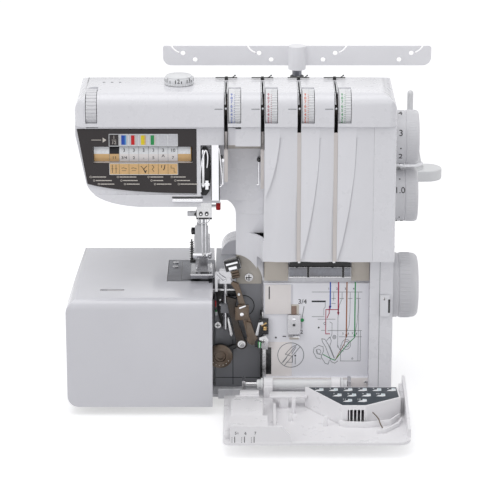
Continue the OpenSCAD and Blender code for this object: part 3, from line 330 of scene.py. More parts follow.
def add_lathe(bm, section, origin, axis="X", n=72):
    """Turns a closed section of (radius, length) points about an axis through the origin."""
    verts = [bm.verts.new((r, 0, h)) for r, h in section]
    edges = [bm.edges.new((verts[i], verts[(i + 1) % len(verts)])) for i in range(len(verts))]
    bmesh.ops.spin(bm, geom=verts + edges, cent=(0, 0, 0), axis=(0, 0, 1), angle=math.tau, steps=n,
                   use_merge=True)
    every = set(verts)
    stack = list(verts)
    while stack:
        v = stack.pop()
        for e in v.link_edges:
            o = e.other_vert(v)
            if o not in every:
                every.add(o)
                stack.append(o)
    every = list(every)
    bmesh.ops.remove_doubles(bm, verts=every, dist=1e-5)
    every = [v for v in every if v.is_valid]
    turn = {"X": Matrix.Rotation(math.pi / 2, 4, "Y"), "Y": Matrix.Rotation(-math.pi / 2, 4, "X"),
            "Z": Matrix.Identity(4)}[axis]
    bmesh.ops.transform(bm, matrix=Matrix.Translation(origin) @ turn, verts=every)
    return every


def add_slab(bm, outline, normal, low, high, soft=0.0, seg=2):
    """A flat outline drawn in the plane across an axis, and given its thickness along it."""
    at = {"X": lambda u, v: (low, u, v), "Y": lambda u, v: (u, low, v), "Z": lambda u, v: (u, v, low)}[normal]
    step = {"X": (high - low, 0, 0), "Y": (0, high - low, 0), "Z": (0, 0, high - low)}[normal]
    verts = [bm.verts.new(at(u, v)) for u, v in outline]
    face = bm.faces.new(verts)
    grown = bmesh.ops.extrude_face_region(bm, geom=[face], use_keep_orig=True)["geom"]
    top = [g for g in grown if isinstance(g, bmesh.types.BMVert)]
    bmesh.ops.translate(bm, vec=step, verts=top)
    made = verts + top
    if soft:
        rims = [e for e in {e for v in made for e in v.link_edges}
                if (e.verts[0] in verts) == (e.verts[1] in verts)]
        bmesh.ops.bevel(bm, geom=rims, offset=soft, segments=seg, profile=0.5, affect="EDGES", material=-1)
    return made


def arc(cx, cy, r, start, end, n=8):
    return [(cx + r * math.cos(math.radians(start + (end - start) * i / n)),
             cy + r * math.sin(math.radians(start + (end - start) * i / n))) for i in range(n + 1)]


def rounded(x0, y0, x1, y1, r, n=5):
    return (arc(x1 - r, y0 + r, r, -90, 0, n) + arc(x1 - r, y1 - r, r, 0, 90, n)
            + arc(x0 + r, y1 - r, r, 90, 180, n) + arc(x0 + r, y0 + r, r, 180, 270, n))


def shape(make):
    """The same shape maker, with its call put off until there is a mesh to draw in."""
    return lambda *given, **more: lambda bm: make(bm, *given, **more)


box, rod, ball, lathe, slab = [shape(make) for make in (add_box, add_rod, add_ball, add_lathe, add_slab)]


def piece_of(name, body, slot, finish, *shapes, **more):
    """A finished piece that is drawn from the listed shapes."""
    bm = bmesh.new()
    for draw in shapes:
        draw(bm)
    return keep(bm, name, body, slot, finish, **more)


def wire(name, points, r, body, finish, smooth=True, sides=3):
    """A bent wire or cord of even thickness through the points."""
    curve = bpy.data.curves.new(name, "CURVE")
    curve.dimensions, curve.bevel_depth, curve.bevel_resolution = "3D", r * MM, sides
    curve.use_fill_caps, curve.resolution_u = True, 6
    for run in (points if isinstance(points[0][0], (tuple, list)) else [points]):
        spline = curve.splines.new("NURBS" if smooth else "POLY")
        spline.points.add(len(run) - 1)
        for point, p in zip(spline.points, run):
            point.co = (p[0] * MM, p[1] * MM, p[2] * MM, 1)
        if smooth:
            spline.use_endpoint_u, spline.order_u = True, 3
    made = bpy.data.objects.new(name + "_curve", curve)
    bpy.context.scene.collection.objects.link(made)
    mesh = bpy.data.meshes.new_from_object(made)
    bpy.data.objects.remove(made)
    for face in mesh.polygons:
        face.use_smooth = True
    mesh.name = name
    mesh.materials.clear()
    mesh.materials.append(look[finish])
    piece = bpy.data.objects.new(name, mesh)
    bpy.context.scene.collection.objects.link(piece)
    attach(piece, body)
    return piece


def letters(name, words, body, slot, finish, thick=0.08):
    """Raised numerals. Each entry is a text, its height in mm and the matrix of its place."""
    bm = bmesh.new()
    for text, height, place in words:
        curve = bpy.data.curves.new(name + "_text", "FONT")
        curve.body, curve.size, curve.extrude, curve.resolution_u = text, height * 1.4, thick, 3
        curve.align_x, curve.align_y = "CENTER", "CENTER"
        made = bpy.data.objects.new(name + "_text", curve)
        bpy.context.scene.collection.objects.link(made)
        mesh = bpy.data.meshes.new_from_object(made)
        mesh.transform(place)
        bm.from_mesh(mesh)
        bpy.data.objects.remove(made)
        bpy.data.meshes.remove(mesh)
    bmesh.ops.remove_doubles(bm, verts=bm.verts, dist=1e-4)
    return keep(bm, name, body, slot, finish)


def facing(x, y, z, normal, spin=0.0):
    """The place of a text that reads along the surface with this outward normal."""
    turn = {"-Y": Matrix.Rotation(math.pi / 2, 4, "X"),
            "+Z": Matrix.Identity(4),
            "+Y": Matrix.Rotation(math.pi, 4, "Z") @ Matrix.Rotation(math.pi / 2, 4, "X"),
            "+X": Matrix.Rotation(math.pi / 2, 4, "Z") @ Matrix.Rotation(math.pi / 2, 4, "X")}[normal]
    return Matrix.Translation((x, y, z)) @ turn @ Matrix.Rotation(math.radians(spin), 4, "Z")


# ---------------------------------------------------------------- camera, light and floor

def aim(obj, target):
    obj.rotation_mode = "QUATERNION"
    obj.rotation_quaternion = (Vector(target) - obj.location).to_track_quat("-Z", "Y")


target = Vector((0.0, -0.080, 0.1539))
tilt, reach = math.radians(18), 2.1
camera = bpy.data.objects.new("camera", bpy.data.cameras.new("camera"))
camera.data.sensor_width, camera.data.lens = 36.0, 174.8
camera.data.clip_start, camera.data.clip_end = 0.05, 50
camera.location = target + reach * Vector((0, -math.cos(tilt), math.sin(tilt)))
aim(camera, target)
bpy.context.scene.collection.objects.link(camera)
bpy.context.scene.camera = camera


def soft_lamp(name, at, to, width, height, power):
    lamp = bpy.data.lights.new(name, "AREA")
    lamp.shape, lamp.size, lamp.size_y, lamp.energy = "RECTANGLE", width, height, power
    obj = bpy.data.objects.new(name, lamp)
    obj.location = at
    aim(obj, to)
    bpy.context.scene.collection.objects.link(obj)


soft_lamp("light_top", (-0.25, -0.35, 1.9), (0, 0, 0.12), 1.5, 1.3, 11)
soft_lamp("light_left", (-1.7, -1.3, 1.1), (0, 0, 0.15), 1.1, 1.4, 10.2)
soft_lamp("light_right", (1.9, -0.9, 0.9), (0, 0, 0.15), 0.8, 1.3, 5)
soft_lamp("light_back", (0.4, 1.9, 1.3), (0, 0, 0.15), 1.4, 1.0, 2.2)

world = bpy.data.worlds.new("studio")
world.use_nodes = True
bpy.context.scene.world = world
tree = world.node_tree
tree.nodes.clear()


def seen_directly(tree):
    """One where the camera or a glass looks, else zero."""
    path = tree.nodes.new("ShaderNodeLightPath").outputs
    first = tree.nodes.new("ShaderNodeMath")
    first.operation = "MAXIMUM"
    tree.links.new(path["Is Camera Ray"], first.inputs[0])
    tree.links.new(path["Is Transmission Ray"], first.inputs[1])
    return path, first.outputs[0]


path, direct = seen_directly(tree)
around = tree.nodes.new("ShaderNodeBackground")
around.inputs["Color"].default_value, around.inputs["Strength"].default_value = (0.98, 0.98, 1, 1), 0.59
backdrop = tree.nodes.new("ShaderNodeBackground")
backdrop.inputs["Color"].default_value, backdrop.inputs["Strength"].default_value = (1, 1, 1, 1), 1.0
blend = tree.nodes.new("ShaderNodeMixShader")
glossy = tree.nodes.new("ShaderNodeMath")
glossy.operation = "MULTIPLY_ADD"
glossy.inputs[1].default_value = 0.55
tree.links.new(path["Is Glossy Ray"], glossy.inputs[0])
tree.links.new(direct, glossy.inputs[2])
tree.links.new(glossy.outputs[0], blend.inputs["Fac"])
tree.links.new(around.outputs[0], blend.inputs[1])
tree.links.new(backdrop.outputs[0], blend.inputs[2])
tree.links.new(blend.outputs[0], tree.nodes.new("ShaderNodeOutputWorld").inputs["Surface"])
bpy.context.scene.view_settings.view_transform = "Standard"

floor_mesh = bpy.data.meshes.new("floor")
bm = bmesh.new()
bmesh.ops.create_grid(bm, x_segments=1, y_segments=1, size=6.0)
bm.to_mesh(floor_mesh)
bm.free()
floor = bpy.data.objects.new("floor", floor_mesh)
bpy.context.scene.collection.objects.link(floor)
floor_look = bpy.data.materials.new("pale_floor")
floor_look.use_nodes = True
tree = floor_look.node_tree
surface = tree.nodes["Principled BSDF"]
surface.inputs["Base Color"].default_value = (0.62, 0.62, 0.63, 1)
surface.inputs["Roughness"].default_value = 0.55
surface.inputs["Specular IOR Level"].default_value = 0.2
path, direct = seen_directly(tree)
either = tree.nodes.new("ShaderNodeMath")
either.operation = "MAXIMUM"
tree.links.new(direct, either.inputs[0])
tree.links.new(path["Is Glossy Ray"], either.inputs[1])
lift = tree.nodes.new("ShaderNodeMath")
lift.operation = "MULTIPLY"
lift.inputs[1].default_value = 0.56
tree.links.new(either.outputs[0], lift.inputs[0])
tree.links.new(lift.outputs[0], surface.inputs["Emission Strength"])
surface.inputs["Emission Color"].default_value = (1, 1, 1, 1)
floor_mesh.materials.append(floor_look)


# ---------------------------------------------------------------- CAD solids and their finishes

for node, finish, radius in (
        ("top_cover", "casing", 0.7), ("face_cover", "casing", 0.7), ("ribbed_cover", "ribbed", 0.7),
        ("rear_cover", "casing", 0.8), ("base_pan", "casing", 0.5), ("free_arm", "arm", 0.7),
        ("extension_table", "table", 1.1), ("looper_cover", "door", 0.6), ("cover_shelf", "door", 0.4),
        ("display_panel", "panel", 0.3), ("looper_bulkhead", "bulkhead", 0.3), ("chart_panel", "chart", 0.4),
        ("needle_plate", "plate", 0.25), ("lower_knife", "steel", 0.15),
                             ("looper_thread_guides", "screw", 0.2),
        ("top_thread_guides", "gloss_black", 0.25), ("face_thread_guides", "chrome", 0.25),
        ("spool_tray", "tray", 1.2), ("cone_holders", "tray", 0.25), ("machine_frame", "cast", 0.6),
        ("sewing_lamp", "lens", 0.5), ("needle_clamp", "screw", 0.35), ("upper_looper", "oiled", 0.35),
        ("lower_looper", "soot", 0.3), ("upper_knife", "steel_up", 0.2), ("feed_dogs", "steel", 0.1),
        ("take_up_lever", "chrome", 0.25), ("presser_foot", "steel_up", 0.4), ("presser_lifter", "knob", 0.7),
        ("thread_guide_top", "guide", 0.5), ("stitch_selector", "steel_up", 0.3),
                             ("power_switch", "dial", 0.4),
        ("cutting_width_dial", "black", 0.4), ("motor", "cast", 0.8), ("hinge_rod", "screw", 0.35),
        ("hinge_carriage", "tray", 0.3), ("power_inlet", "black", 0.3), ("motor_pulley", "steel", 0.3),
        ("rubber_feet", "rubber", 0.9), ("drive_belts", "rubber", 0.15), ("shaft_bushes", "brass", 0.3),
        ("main_shaft", "steel", 0.3), ("program_drum", "drum", 0.3), ("mast_tube", "steel_up", 0.3),
        ("tension_discs", "soot", 0.15), ("cover_screws", "screw", 0.12)):
    dress(node, finish, radius)
for node, finish in (("needle_bar", "chrome"), ("needles", "chrome"), ("presser_bar", "knob"),
                     ("spool_pins", "tray"), ("mast_middle", "plate"),
                     ("handwheel", "dial"), ("stitch_length_dial", "dial"), ("differential_dial", "dial"),
                     ("pressure_knob", "knob"), ("program_wheel", "dial"), ("tension_dial_1", "knob"),
                     ("tension_dial_2", "knob"), ("tension_dial_3", "knob"), ("tension_dial_4", "knob")):
    paint(node, finish)


# ---------------------------------------------------------------- display panel

def patch(name, rows, body, slot, finish, y, thick=0.12):
    """Flat printed patches on a face towards the front: x0, z0, x1, z1 each."""
    bm = bmesh.new()
    for x0, z0, x1, z1 in rows:
        add_box(bm, (x0, y - thick, z0), (x1, y, z1))
    return keep(bm, name, body, slot, finish)


def stroke(bm, points, width, y, thick=0.12):
    """A printed line of even width on a face towards the front."""
    for (x0, z0), (x1, z1) in zip(points, points[1:]):
        run = Vector((x1 - x0, 0, z1 - z0))
        side = Vector((-run.z, 0, run.x)).normalized() * width / 2
        ahead = run.normalized() * width * 0.4
        a, b = Vector((x0, 0, z0)) - ahead, Vector((x1, 0, z1)) + ahead
        add_slab(bm, [((a - side).x, (a - side).z), ((b - side).x, (b - side).z),
                      ((b + side).x, (b + side).z), ((a + side).x, (a + side).z)], "Y", y - thick, y)


def ring(bm, x, z, r, width, y, thick=0.12, n=32):
    """A printed circle line."""
    outer, inner = arc(x, z, r + width / 2, 0, 360, n)[:-1], arc(x, z, r - width / 2, 0, 360, n)[:-1]
    for i in range(n):
        j = (i + 1) % n
        add_slab(bm, [outer[i], outer[j], inner[j], inner[i]], "Y", y - thick, y)
    bmesh.ops.remove_doubles(bm, verts=bm.verts, dist=1e-5)


CELL_L, CELL_W, CELLS = -121.0, 8.4, 7
cell = [CELL_L + i * CELL_W for i in range(CELLS + 1)]
face_y = HEAD_F
patch("display_cells", [(cell[1] + 0.3, 243.4, cell[7] - 0.3, 253.6)], "root", "chart_print", "ink_cell",
      face_y)
patch("display_frame",
      [(cell[0], 243.0, cell[7], 243.5), (cell[0], 253.5, cell[7], 254.0), (cell[0], 217.6, cell[7], 218.0),
       (cell[0], 227.5, cell[7], 227.9)]
      + [(x - 0.22, 243.0, x + 0.22, 254.0) for x in cell]
      + [(x - 0.18, 217.8, x + 0.18, 227.8) for x in (cell[0], cell[7])],
      "root", "chart_print", "ink_white", face_y - 0.06)
for i, (finish, pale) in enumerate((("ink_blue", "ink_sky"), ("ink_red", "ink_pale"),
                                    ("ink_yellow", "ink_tan"), ("ink_green", "ink_pale"))):
    x = cell[i + 1]
    patch("display_bar_%d" % (i + 1), [(x + 2.1, 244.4, x + 5.1, 252.8)], "root", "chart_print", finish,
          face_y - 0.1)
    patch("display_edge_%d" % (i + 1), [(x + 5.1, 244.4, x + 6.3, 252.8)], "root", "chart_print", pale,
          face_y - 0.1)
patch("display_scale", [(cell[0] + 0.3, 218.0, cell[7] - 0.3, 227.6)], "root", "chart_print", "ink_tan",
      face_y)
bm = bmesh.new()
for i in range(1, CELLS):
    stroke(bm, [(cell[i], 218.2), (cell[i], 227.4)], 0.22, face_y - 0.1)
for i, x in enumerate(cell[:-1]):
    # Seams, hems and stitch forms, one in each cell
    if i == 0:
        for k in (2.4, 5.6):
            stroke(bm, [(x + k, 219.4), (x + k, 226.4)], 0.4, face_y - 0.1)
            stroke(bm, [(x + k - 0.9, 223.0), (x + k + 0.9, 223.0)], 0.3, face_y - 0.1)
    elif i in (1, 2):
        stroke(bm, [(x + 2, 223.4), (x + 3.6, 223.9), (x + 6.4, 223.0)], 0.35, face_y - 0.1)
        stroke(bm, [(x + 2.4, 221.4), (x + 5.8, 221.4)], 0.25, face_y - 0.1)
    elif i == 3:
        stroke(bm, [(x + 2.0, 225.2), (x + 4.2, 222.6), (x + 6.8, 225.4)], 0.5, face_y - 0.1)
        stroke(bm, [(x + 4.2, 222.6), (x + 5.6, 219.6), (x + 6.4, 221.4)], 0.8, face_y - 0.1)
    elif i == 4:
        stroke(bm, [(x + 3.0, 226.4), (x + 4.8, 224.4), (x + 3.0, 222.4), (x + 4.8, 220.4)], 0.4,
               face_y - 0.1)
    elif i == 5:
        stroke(bm, [(x + 3.0, 226.0), (x + 2.8, 224.2)], 0.5, face_y - 0.1)
        stroke(bm, [(x + 5.8, 226.4), (x + 5.2, 223.2), (x + 4.4, 222.0)], 0.7, face_y - 0.1)
    else:
        stroke(bm, [(x + 2.6, 226.2), (x + 2.6, 223.6), (x + 5.2, 223.6), (x + 5.2, 220.0),
                    (x + 6.6, 220.0)], 0.35,
               face_y - 0.1)
keep(bm, "display_marks", "root", "chart_print", "ink_black")
letters("display_numbers", [("1", 2.9, facing(cell[0] + 4.2, face_y - 0.1, 251.0, "-Y")),
                            ("12", 2.9, facing(cell[0] + 4.2, face_y - 0.1, 246.2, "-Y"))],
        "root", "chart_print", "ink_pale")
bm = bmesh.new()
stroke(bm, [(cell[0] + 2.4, 248.6), (cell[0] + 6.0, 248.6)], 0.3, face_y)
add_slab(bm, [(-126.5, 246.4), (-123.2, 248.6), (-126.5, 250.8)], "Y", face_y - 0.12, face_y)
stroke(bm, [(-136.0, 248.6), (-128.0, 248.6)], 0.5, face_y)
# Legend rows: a ringed dot and a dash for each pattern
for row, (z, starts) in enumerate(((215.6, (-137.5, -114.0, -87.5, -67.5)),
                                   (212.4, (-134.5, -111.0, -85.0, -64.5)),
                                   (209.2, (-130.5, -108.0, -82.0, -61.5)))):
    for k, x in enumerate(starts):
        ring(bm, x, z, 0.75, 0.28, face_y, n=12)
        long = (13, 15, 12, 10)[(k + row) % 4]
        at = x + 1.8
        while at < x + long:
            step = 1.2 + 0.7 * ((int(at * 7) + row) % 3)
            stroke(bm, [(at, z), (at + step, z)], 0.75, face_y)
            at += step + 0.75
keep(bm, "display_legend", "root", "chart_print", "ink_pale")

# Printed drum behind the window: five programs
PROGRAMS = 5


def on_drum(degrees, x, r=DRUM_R, spin=0.0):
    """The place of a text on the drum, reading along X, at an angle from the front."""
    turn = Matrix.Rotation(math.radians(degrees), 4, "X")
    return Matrix.Translation((0, DRUM_Y, DRUM_Z)) @ turn @ facing(x, -r, 0, "-Y", spin)


def drum_band(bm, x0, x1, r, start, end):
    section = [(DRUM_Y + p[0], DRUM_Z + p[1]) for p in
               arc(0, 0, r, 180 - end, 180 - start, max(2, int(abs(end - start) / 5)))]
    inner = [(DRUM_Y + p[0], DRUM_Z + p[1]) for p in
             arc(0, 0, DRUM_R - 0.3, 180 - start, 180 - end, max(2, int(abs(end - start) / 5)))]
    add_slab(bm, section + inner, "X", x0, x1)


drum_x0, drum_x1 = -134.4, -51.2
piece_of("drum_collar", "program_drum", "tan_print", "drum",
         lathe([(2.06, 0), (11.0, 0), (DRUM_R, 0.5), (DRUM_R, 9.0), (2.06, 9.0)], (drum_x0, DRUM_Y, DRUM_Z),
               "X", 72))
paper, ground, dark, lines = bmesh.new(), bmesh.new(), bmesh.new(), bmesh.new()
numbers = []
upper = ("3", "3", "3", "3", "3", "10")
lower = (("11", "3/4", "2", "-", "5", "", "7"), ("12", "2", "1", "-", "4", "", "6"),
         ("10", "3/4", "0", "-", "3", "", "5"),
         ("9", "2", "2", "-", "6", "", "4"), ("8", "3", "1", "-", "7", "", "8"))
for k in range(PROGRAMS):
    a = k * 360.0 / PROGRAMS
    drum_band(paper, drum_x0, drum_x1, DRUM_R + 0.05, a + 2, a + 35)
    drum_band(ground, cell[1], cell[7], DRUM_R + 0.1, a - 34, a + 2)
    drum_band(dark, cell[0] + 0.1, cell[1], DRUM_R + 0.12, a + 2, a + 34)
    for x in cell:
        drum_band(lines, x - 0.12, x + 0.12, DRUM_R + 0.15, a - 34, a + 34)
    for i, text in enumerate(upper):
        text = str((int(text) + k) % 10) if k and i < 5 else text
        numbers.append((text, 3.0, on_drum(-(a + 17), cell[i + 1] + 4.2, DRUM_R + 0.14)))
    for i, text in enumerate(lower[k]):
        if text:
            numbers.append((text, 2.9, on_drum(-(a - 16), cell[i] + 4.2, DRUM_R + 0.14)))
    numbers.append(("^", 4.6, on_drum(-(a - 12), cell[5] + 4.2, DRUM_R + 0.14)))
keep(paper, "drum_paper", "program_drum", "tan_print", "ink_white")
keep(ground, "drum_ground", "program_drum", "tan_print", "label")
keep(dark, "drum_dark_cells", "program_drum", "tan_print", "ink_black")
keep(lines, "drum_lines", "program_drum", "tan_print", "ink_grey")
letters("drum_numbers", numbers, "program_drum", "tan_print", "ink_black", 0.04)

# ---------------------------------------------------------------- top cover

bm = bmesh.new()
for x in (-126.6, -119.6, -112.7):
    add_rod(bm, (x, -30, TOP_Z - 0.4), (x, -30, TOP_Z + 0.12), 1.15, n=20)
keep(bm, "top_dots", "root", "grey_plastic", "ink_grey")
bm = bmesh.new()
for x in SLOT_X:
    add_box(bm, (x - 9.6, LID_F - 0.12, 277.6), (x - 2.6, LID_F + 0.02, 278.2))
keep(bm, "slot_ticks", "root", "grey_plastic", "ink_grey")

black, white, dots, posts = bmesh.new(), bmesh.new(), bmesh.new(), bmesh.new()
for x in SLOT_X:
    # Dark depth of the slot, behind the tension discs
    add_slab(black, [(-68.6, 241.0), (-66.0, 262.6)] + [(-71.4, 263.4), (-71.4, 279.0)]
             + [(-71.4 + 8.6 - 8.6 * math.cos(math.radians(t)), 279.4 + 8.6 * math.sin(math.radians(t)))
                for t in (20, 45, 70, 90)] + [(-30, 288.0), (-25, 284.0), (-25, 262.0), (-50, 241.0)],
             "X", x - 1.55, x - 1.05)
    add_slab(black, [(-66.4, 240.6), (-66.0, 262.6), (-69.6, 265.0), (-69.6, 279.0), (-62.0, 286.4),
                     (-30, 286.8),
                     (-25, 284.0), (-25, 262.0), (-50, 240.6)], "X", x - 0.1, x + 0.1)
    add_slab(black, [(-68.6, 241.0), (-66.0, 262.6)] + [(-71.4, 263.4), (-71.4, 279.0)]
             + [(-71.4 + 8.6 - 8.6 * math.cos(math.radians(t)), 279.4 + 8.6 * math.sin(math.radians(t)))
                for t in (20, 45, 70, 90)] + [(-30, 288.0), (-25, 284.0), (-25, 262.0), (-50, 241.0)],
             "X", x + 1.05, x + 1.55)
    # White runner that leads the thread into the slot
    add_box(white, (x - 1.5, -63, 288.4), (x - 0.6, -24.4, 290.3), 0.25)
    add_box(white, (x + 0.6, -63, 288.4), (x + 1.5, -24.4, 290.3), 0.25)
    add_rod(white, (x - 0.9, -64.4, 289.4), (x - 0.6, -71.6, 281.4), 0.5, n=10)
    add_ball(dots, (x, -71.4, 277.8), 0.95)
    # Post, cross bar and hook of the guide on the top
    add_rod(posts, (x, -19.3, TOP_Z), (x, -19.3, TOP_Z + 2.6), 1.3, n=16, soft=0.2)
    add_rod(posts, (x + 5.2, -19.3, TOP_Z + 1.6), (x + 7.6, -22.0, TOP_Z + 4.2), 0.45, n=10)
    add_ball(posts, (x + 7.6, -22.0, TOP_Z + 4.2), 0.75, 10)
keep(black, "slot_depths", "root", "black_plastic", "black")
keep(white, "slot_runners", "root", "white_plastic", "knob")
keep(dots, "slot_dots", "root", "white_plastic", "ink_white")
# Grooves that carry on below the slots, in a darker grey that is painted shade
strips = bmesh.new()
for x, low in zip(SLOT_X[:2], (211.0, 205.0)):
    add_box(strips, (x - 1.6, -66.3, 243.6), (x + 1.6, -65.8, 256.2), 0.1)
    add_box(strips, (x - 1.6, -66.3, low), (x + 1.6, -64.6, 243.8), 0.2)
for x in SLOT_X[2:]:
    add_box(strips, (x - 1.65, COL_F - 0.1, RIBBED_Z + 0.6), (x + 1.65, COL_F + 0.2, 256.2))
keep(strips, "slot_grooves", "root", "white_plastic", "groove")
# Shallow curved facets of the ribbed cover, a tone lighter than the cover: painted light on the real curved
# facets
curve = [(0, 260.4), (15.9, 260.4), (15.6, 246), (15.2, 232.9), (14.2, 218), (12.5, 204.4), (10.2, 187),
         (7.0, 168.7),
         (4.2, 155), (0.9, 143), (0, 142)]
short = [(0, 260.4), (13.2, 260.4), (12.9, 250), (11.8, 240), (10.1, 229), (7.8, 218.6), (4.5, 208),
         (0.9, 198.6), (0, 196)]
bm = bmesh.new()
for x, outline in ((CHART_L + 0.6, short), (SLOT_X[2] + 1.8, curve), (SLOT_X[3] + 1.8, curve)):
    add_slab(bm, [(x + p[0], p[1]) for p in outline], "Y", COL_F - 0.08, COL_F + 0.2)
keep(bm, "ribbed_facets", "root", "ribbed_white", "facet")
# Skin over the upper edge of the throat's rounded corner
bm = bmesh.new()
skin = [(-0.2, -47.0), (4.2, -51.4), (6.8, -55.1), (7.65, -56.8), (10.1, -64.3), (11.4, -64.3), (9.5, -56.5),
        (6.0, -50.5), (1.0, -46.0)]
add_slab(bm, skin, "Z", 149.0, 158.7)
keep(bm, "throat_skin", "root", "ribbed_white", "ribbed")
# Cove under the lip over the wire hooks; its tan-grey is painted shade of the overhang's underside
piece_of("recess_cove", "root", "grey_plastic", "hollow",
         slab([(-65.7, 243.9), (-45.1, 243.9), (-45.1, 235.6), (-46.6, 235.6)], "X", -18.8, 8.8))
keep(posts, "top_guide_posts", "root", "black_plastic", "gloss_black")

# Pressure knob: fluted side, ticks and numbers
kz0, kz1 = TOP_Z + 0.5, TOP_Z + 6.5
bm = bmesh.new()
flutes, kr = 36, 12.7
outline = []
for i in range(flutes):
    for k, r in ((0.0, kr - 0.45), (0.25, kr), (0.5, kr), (0.75, kr - 0.45)):
        t = (i + k) * math.tau / flutes
        outline.append((KNOB_X + r * math.cos(t), KNOB_Y + r * math.sin(t)))
add_slab(bm, outline, "Z", kz0, kz0 + 2.2)
add_rod(bm, (KNOB_X, KNOB_Y, kz0 + 2.0), (KNOB_X, KNOB_Y, kz1), kr - 0.2, n=96, soft=0.7)
add_rod(bm, (KNOB_X, KNOB_Y, kz1 - 0.2), (KNOB_X, KNOB_Y, kz1 + 1.15), 11.5, n=96, soft=0.5)
keep(bm, "pressure_knob_form", "pressure_knob", "white_plastic", "knob", over=("pressure_knob",))
piece_of("pressure_knob_stem", "pressure_knob", "white_plastic", "knob",
         rod((KNOB_X, KNOB_Y, 278.6), (KNOB_X, KNOB_Y, kz0 + 0.1), 4.4, n=32))


def round_knob(degrees, r, z):
    return (Matrix.Translation((KNOB_X, KNOB_Y, z)) @ Matrix.Rotation(math.radians(degrees), 4, "Z")
            @ facing(0, -r, 0, "-Y"))


bm = bmesh.new()
for i in range(-6, 7):
    at = math.radians(i * 24 - 90 + 12)
    p = Vector((math.cos(at), math.sin(at), 0)) * (kr - 0.12)
    made = add_box(bm, (-0.28, -0.12, 0), (0.28, 0.06, 3.0 if i % 2 else 2.0))
    bmesh.ops.transform(bm, verts=made, matrix=Matrix.Translation((KNOB_X + p.x, KNOB_Y + p.y, kz0 + 2.5))
                        @ Matrix.Rotation(at + math.pi / 2, 4, "Z"))
keep(bm, "pressure_ticks", "pressure_knob", "white_plastic", "ink_black")
letters("pressure_numbers", [(str(i), 3.6, round_knob((i - 2) * 48, kr - 0.18, kz0 + 4.3)) for i in range(1,
    5)],
        "pressure_knob", "white_plastic", "ink_black")

# Numbers and marks round the tension dials, in each dial's ink
for i, finish in enumerate(("ink_blue", "ink_crimson", "ink_orange", "ink_green")):
    x = SLOT_X[i] + 2.3 + 2.6
    numbers = []
    for n in range(10):
        turn = Matrix.Translation((0, WHEEL_Y,
                                   WHEEL_Z)) @ Matrix.Rotation(math.radians(-34 + 13 * (n - 2)) * -1, 4, "X")
        numbers.append((str(n), 2.7, turn @ facing(x, -WHEEL_R - 0.02, 0, "-Y")))
    letters("tension_numbers_%d" % (i + 1), numbers, "tension_dial_%d" % (i + 1), "grey_plastic", finish, 0.1)
    bm = bmesh.new()
    for n in range(19):
        at = math.radians(-34 + 13 * (n / 2 - 2))
        p = (WHEEL_Y - (WHEEL_R + 0.03) * math.cos(at), WHEEL_Z + (WHEEL_R + 0.03) * math.sin(at))
        made = add_box(bm, (x + 1.9, -0.08, -0.14), (x + 2.9, 0.04, 0.14))
        bmesh.ops.transform(bm, verts=made, matrix=Matrix.Translation((0, p[0],
            p[1])) @ Matrix.Rotation(-at, 4, "X"))
    keep(bm, "tension_marks_%d" % (i + 1), "tension_dial_%d" % (i + 1), "grey_plastic", finish)


# ---------------------------------------------------------------- needle, presser and take-up

def pan_screw(name, at, r, body, slot, finish="screw", axis="-Y", cross=True, dome=0.5):
    """A domed screw head with a cross or a straight slot, facing out along its axis."""
    bm = bmesh.new()
    section = [(0, 0), (r, 0), (r, dome * r * 0.5)] + [(r * math.cos(math.radians(t)),
                                                        dome * r * (0.5 + 0.5 * math.sin(math.radians(t))))
                                                      for t in (25, 50, 72)] + [(0, dome * r)]
    add_lathe(bm, section, (0, 0, 0), "Z", 32)
    groove = bmesh.new()
    depth = dome * r
    for turn in ((0, 90) if cross else (35,)):
        made = add_box(groove, (-r * 0.62, -r * 0.13, depth - 0.12), (r * 0.62, r * 0.13, depth + 0.03))
        bmesh.ops.rotate(groove, verts=made, cent=(0, 0, 0),
                         matrix=Matrix.Rotation(math.radians(turn), 3, "Z"))
    turn = {"-Y": Matrix.Rotation(math.pi / 2, 4, "X"), "+Y": Matrix.Rotation(-math.pi / 2, 4, "X"),
            "+Z": Matrix.Identity(4), "-X": Matrix.Rotation(-math.pi / 2, 4, "Y"),
            "+X": Matrix.Rotation(math.pi / 2, 4, "Y")}[axis]
    for mesh, part, coat in ((bm, name, finish), (groove, name + "_cross", "gloss_black")):
        bmesh.ops.transform(mesh, verts=mesh.verts, matrix=Matrix.Translation(at) @ turn)
        keep(mesh, part, body, slot, coat)


nb, ns = "needle_drive", "steel"
# Red end of the clamp's thumb screw, with a knurled rim
bm = bmesh.new()
zc = HEAD_Z - 14.5
add_rod(bm, (NEEDLE_X + 10.8, NEEDLE_Y, zc), (NEEDLE_X + 14.9, NEEDLE_Y, zc), 3.5, n=32, soft=0.5)
for k in range(16):
    t = k * math.tau / 16
    add_rod(bm, (NEEDLE_X + 11.3, NEEDLE_Y + 3.5 * math.cos(t), zc + 3.5 * math.sin(t)),
            (NEEDLE_X + 14.4, NEEDLE_Y + 3.5 * math.cos(t), zc + 3.5 * math.sin(t)), 0.35, n=6)
keep(bm, "clamp_knob", nb, ns, "red")
bm = bmesh.new()
for x in (-2.6, 2.6):
    add_rod(bm, (NEEDLE_X + x, NEEDLE_Y - 7.6, HEAD_Z - 20), (NEEDLE_X + x, NEEDLE_Y - 5.8, HEAD_Z - 20),
            1.75, n=24, soft=0.25)
add_box(bm, (NEEDLE_X - 6.6, NEEDLE_Y - 6.3, HEAD_Z - 9.2), (NEEDLE_X + 7.3, NEEDLE_Y - 5.2, HEAD_Z - 4.6),
        0.3)
add_box(bm, (NEEDLE_X - 6.6, NEEDLE_Y - 6.3, HEAD_Z - 25.2),
        (NEEDLE_X + 7.3, NEEDLE_Y - 5.7, HEAD_Z - 23.6), 0.2)
keep(bm, "clamp_screws", nb, ns, "gloss_black")
bm = bmesh.new()
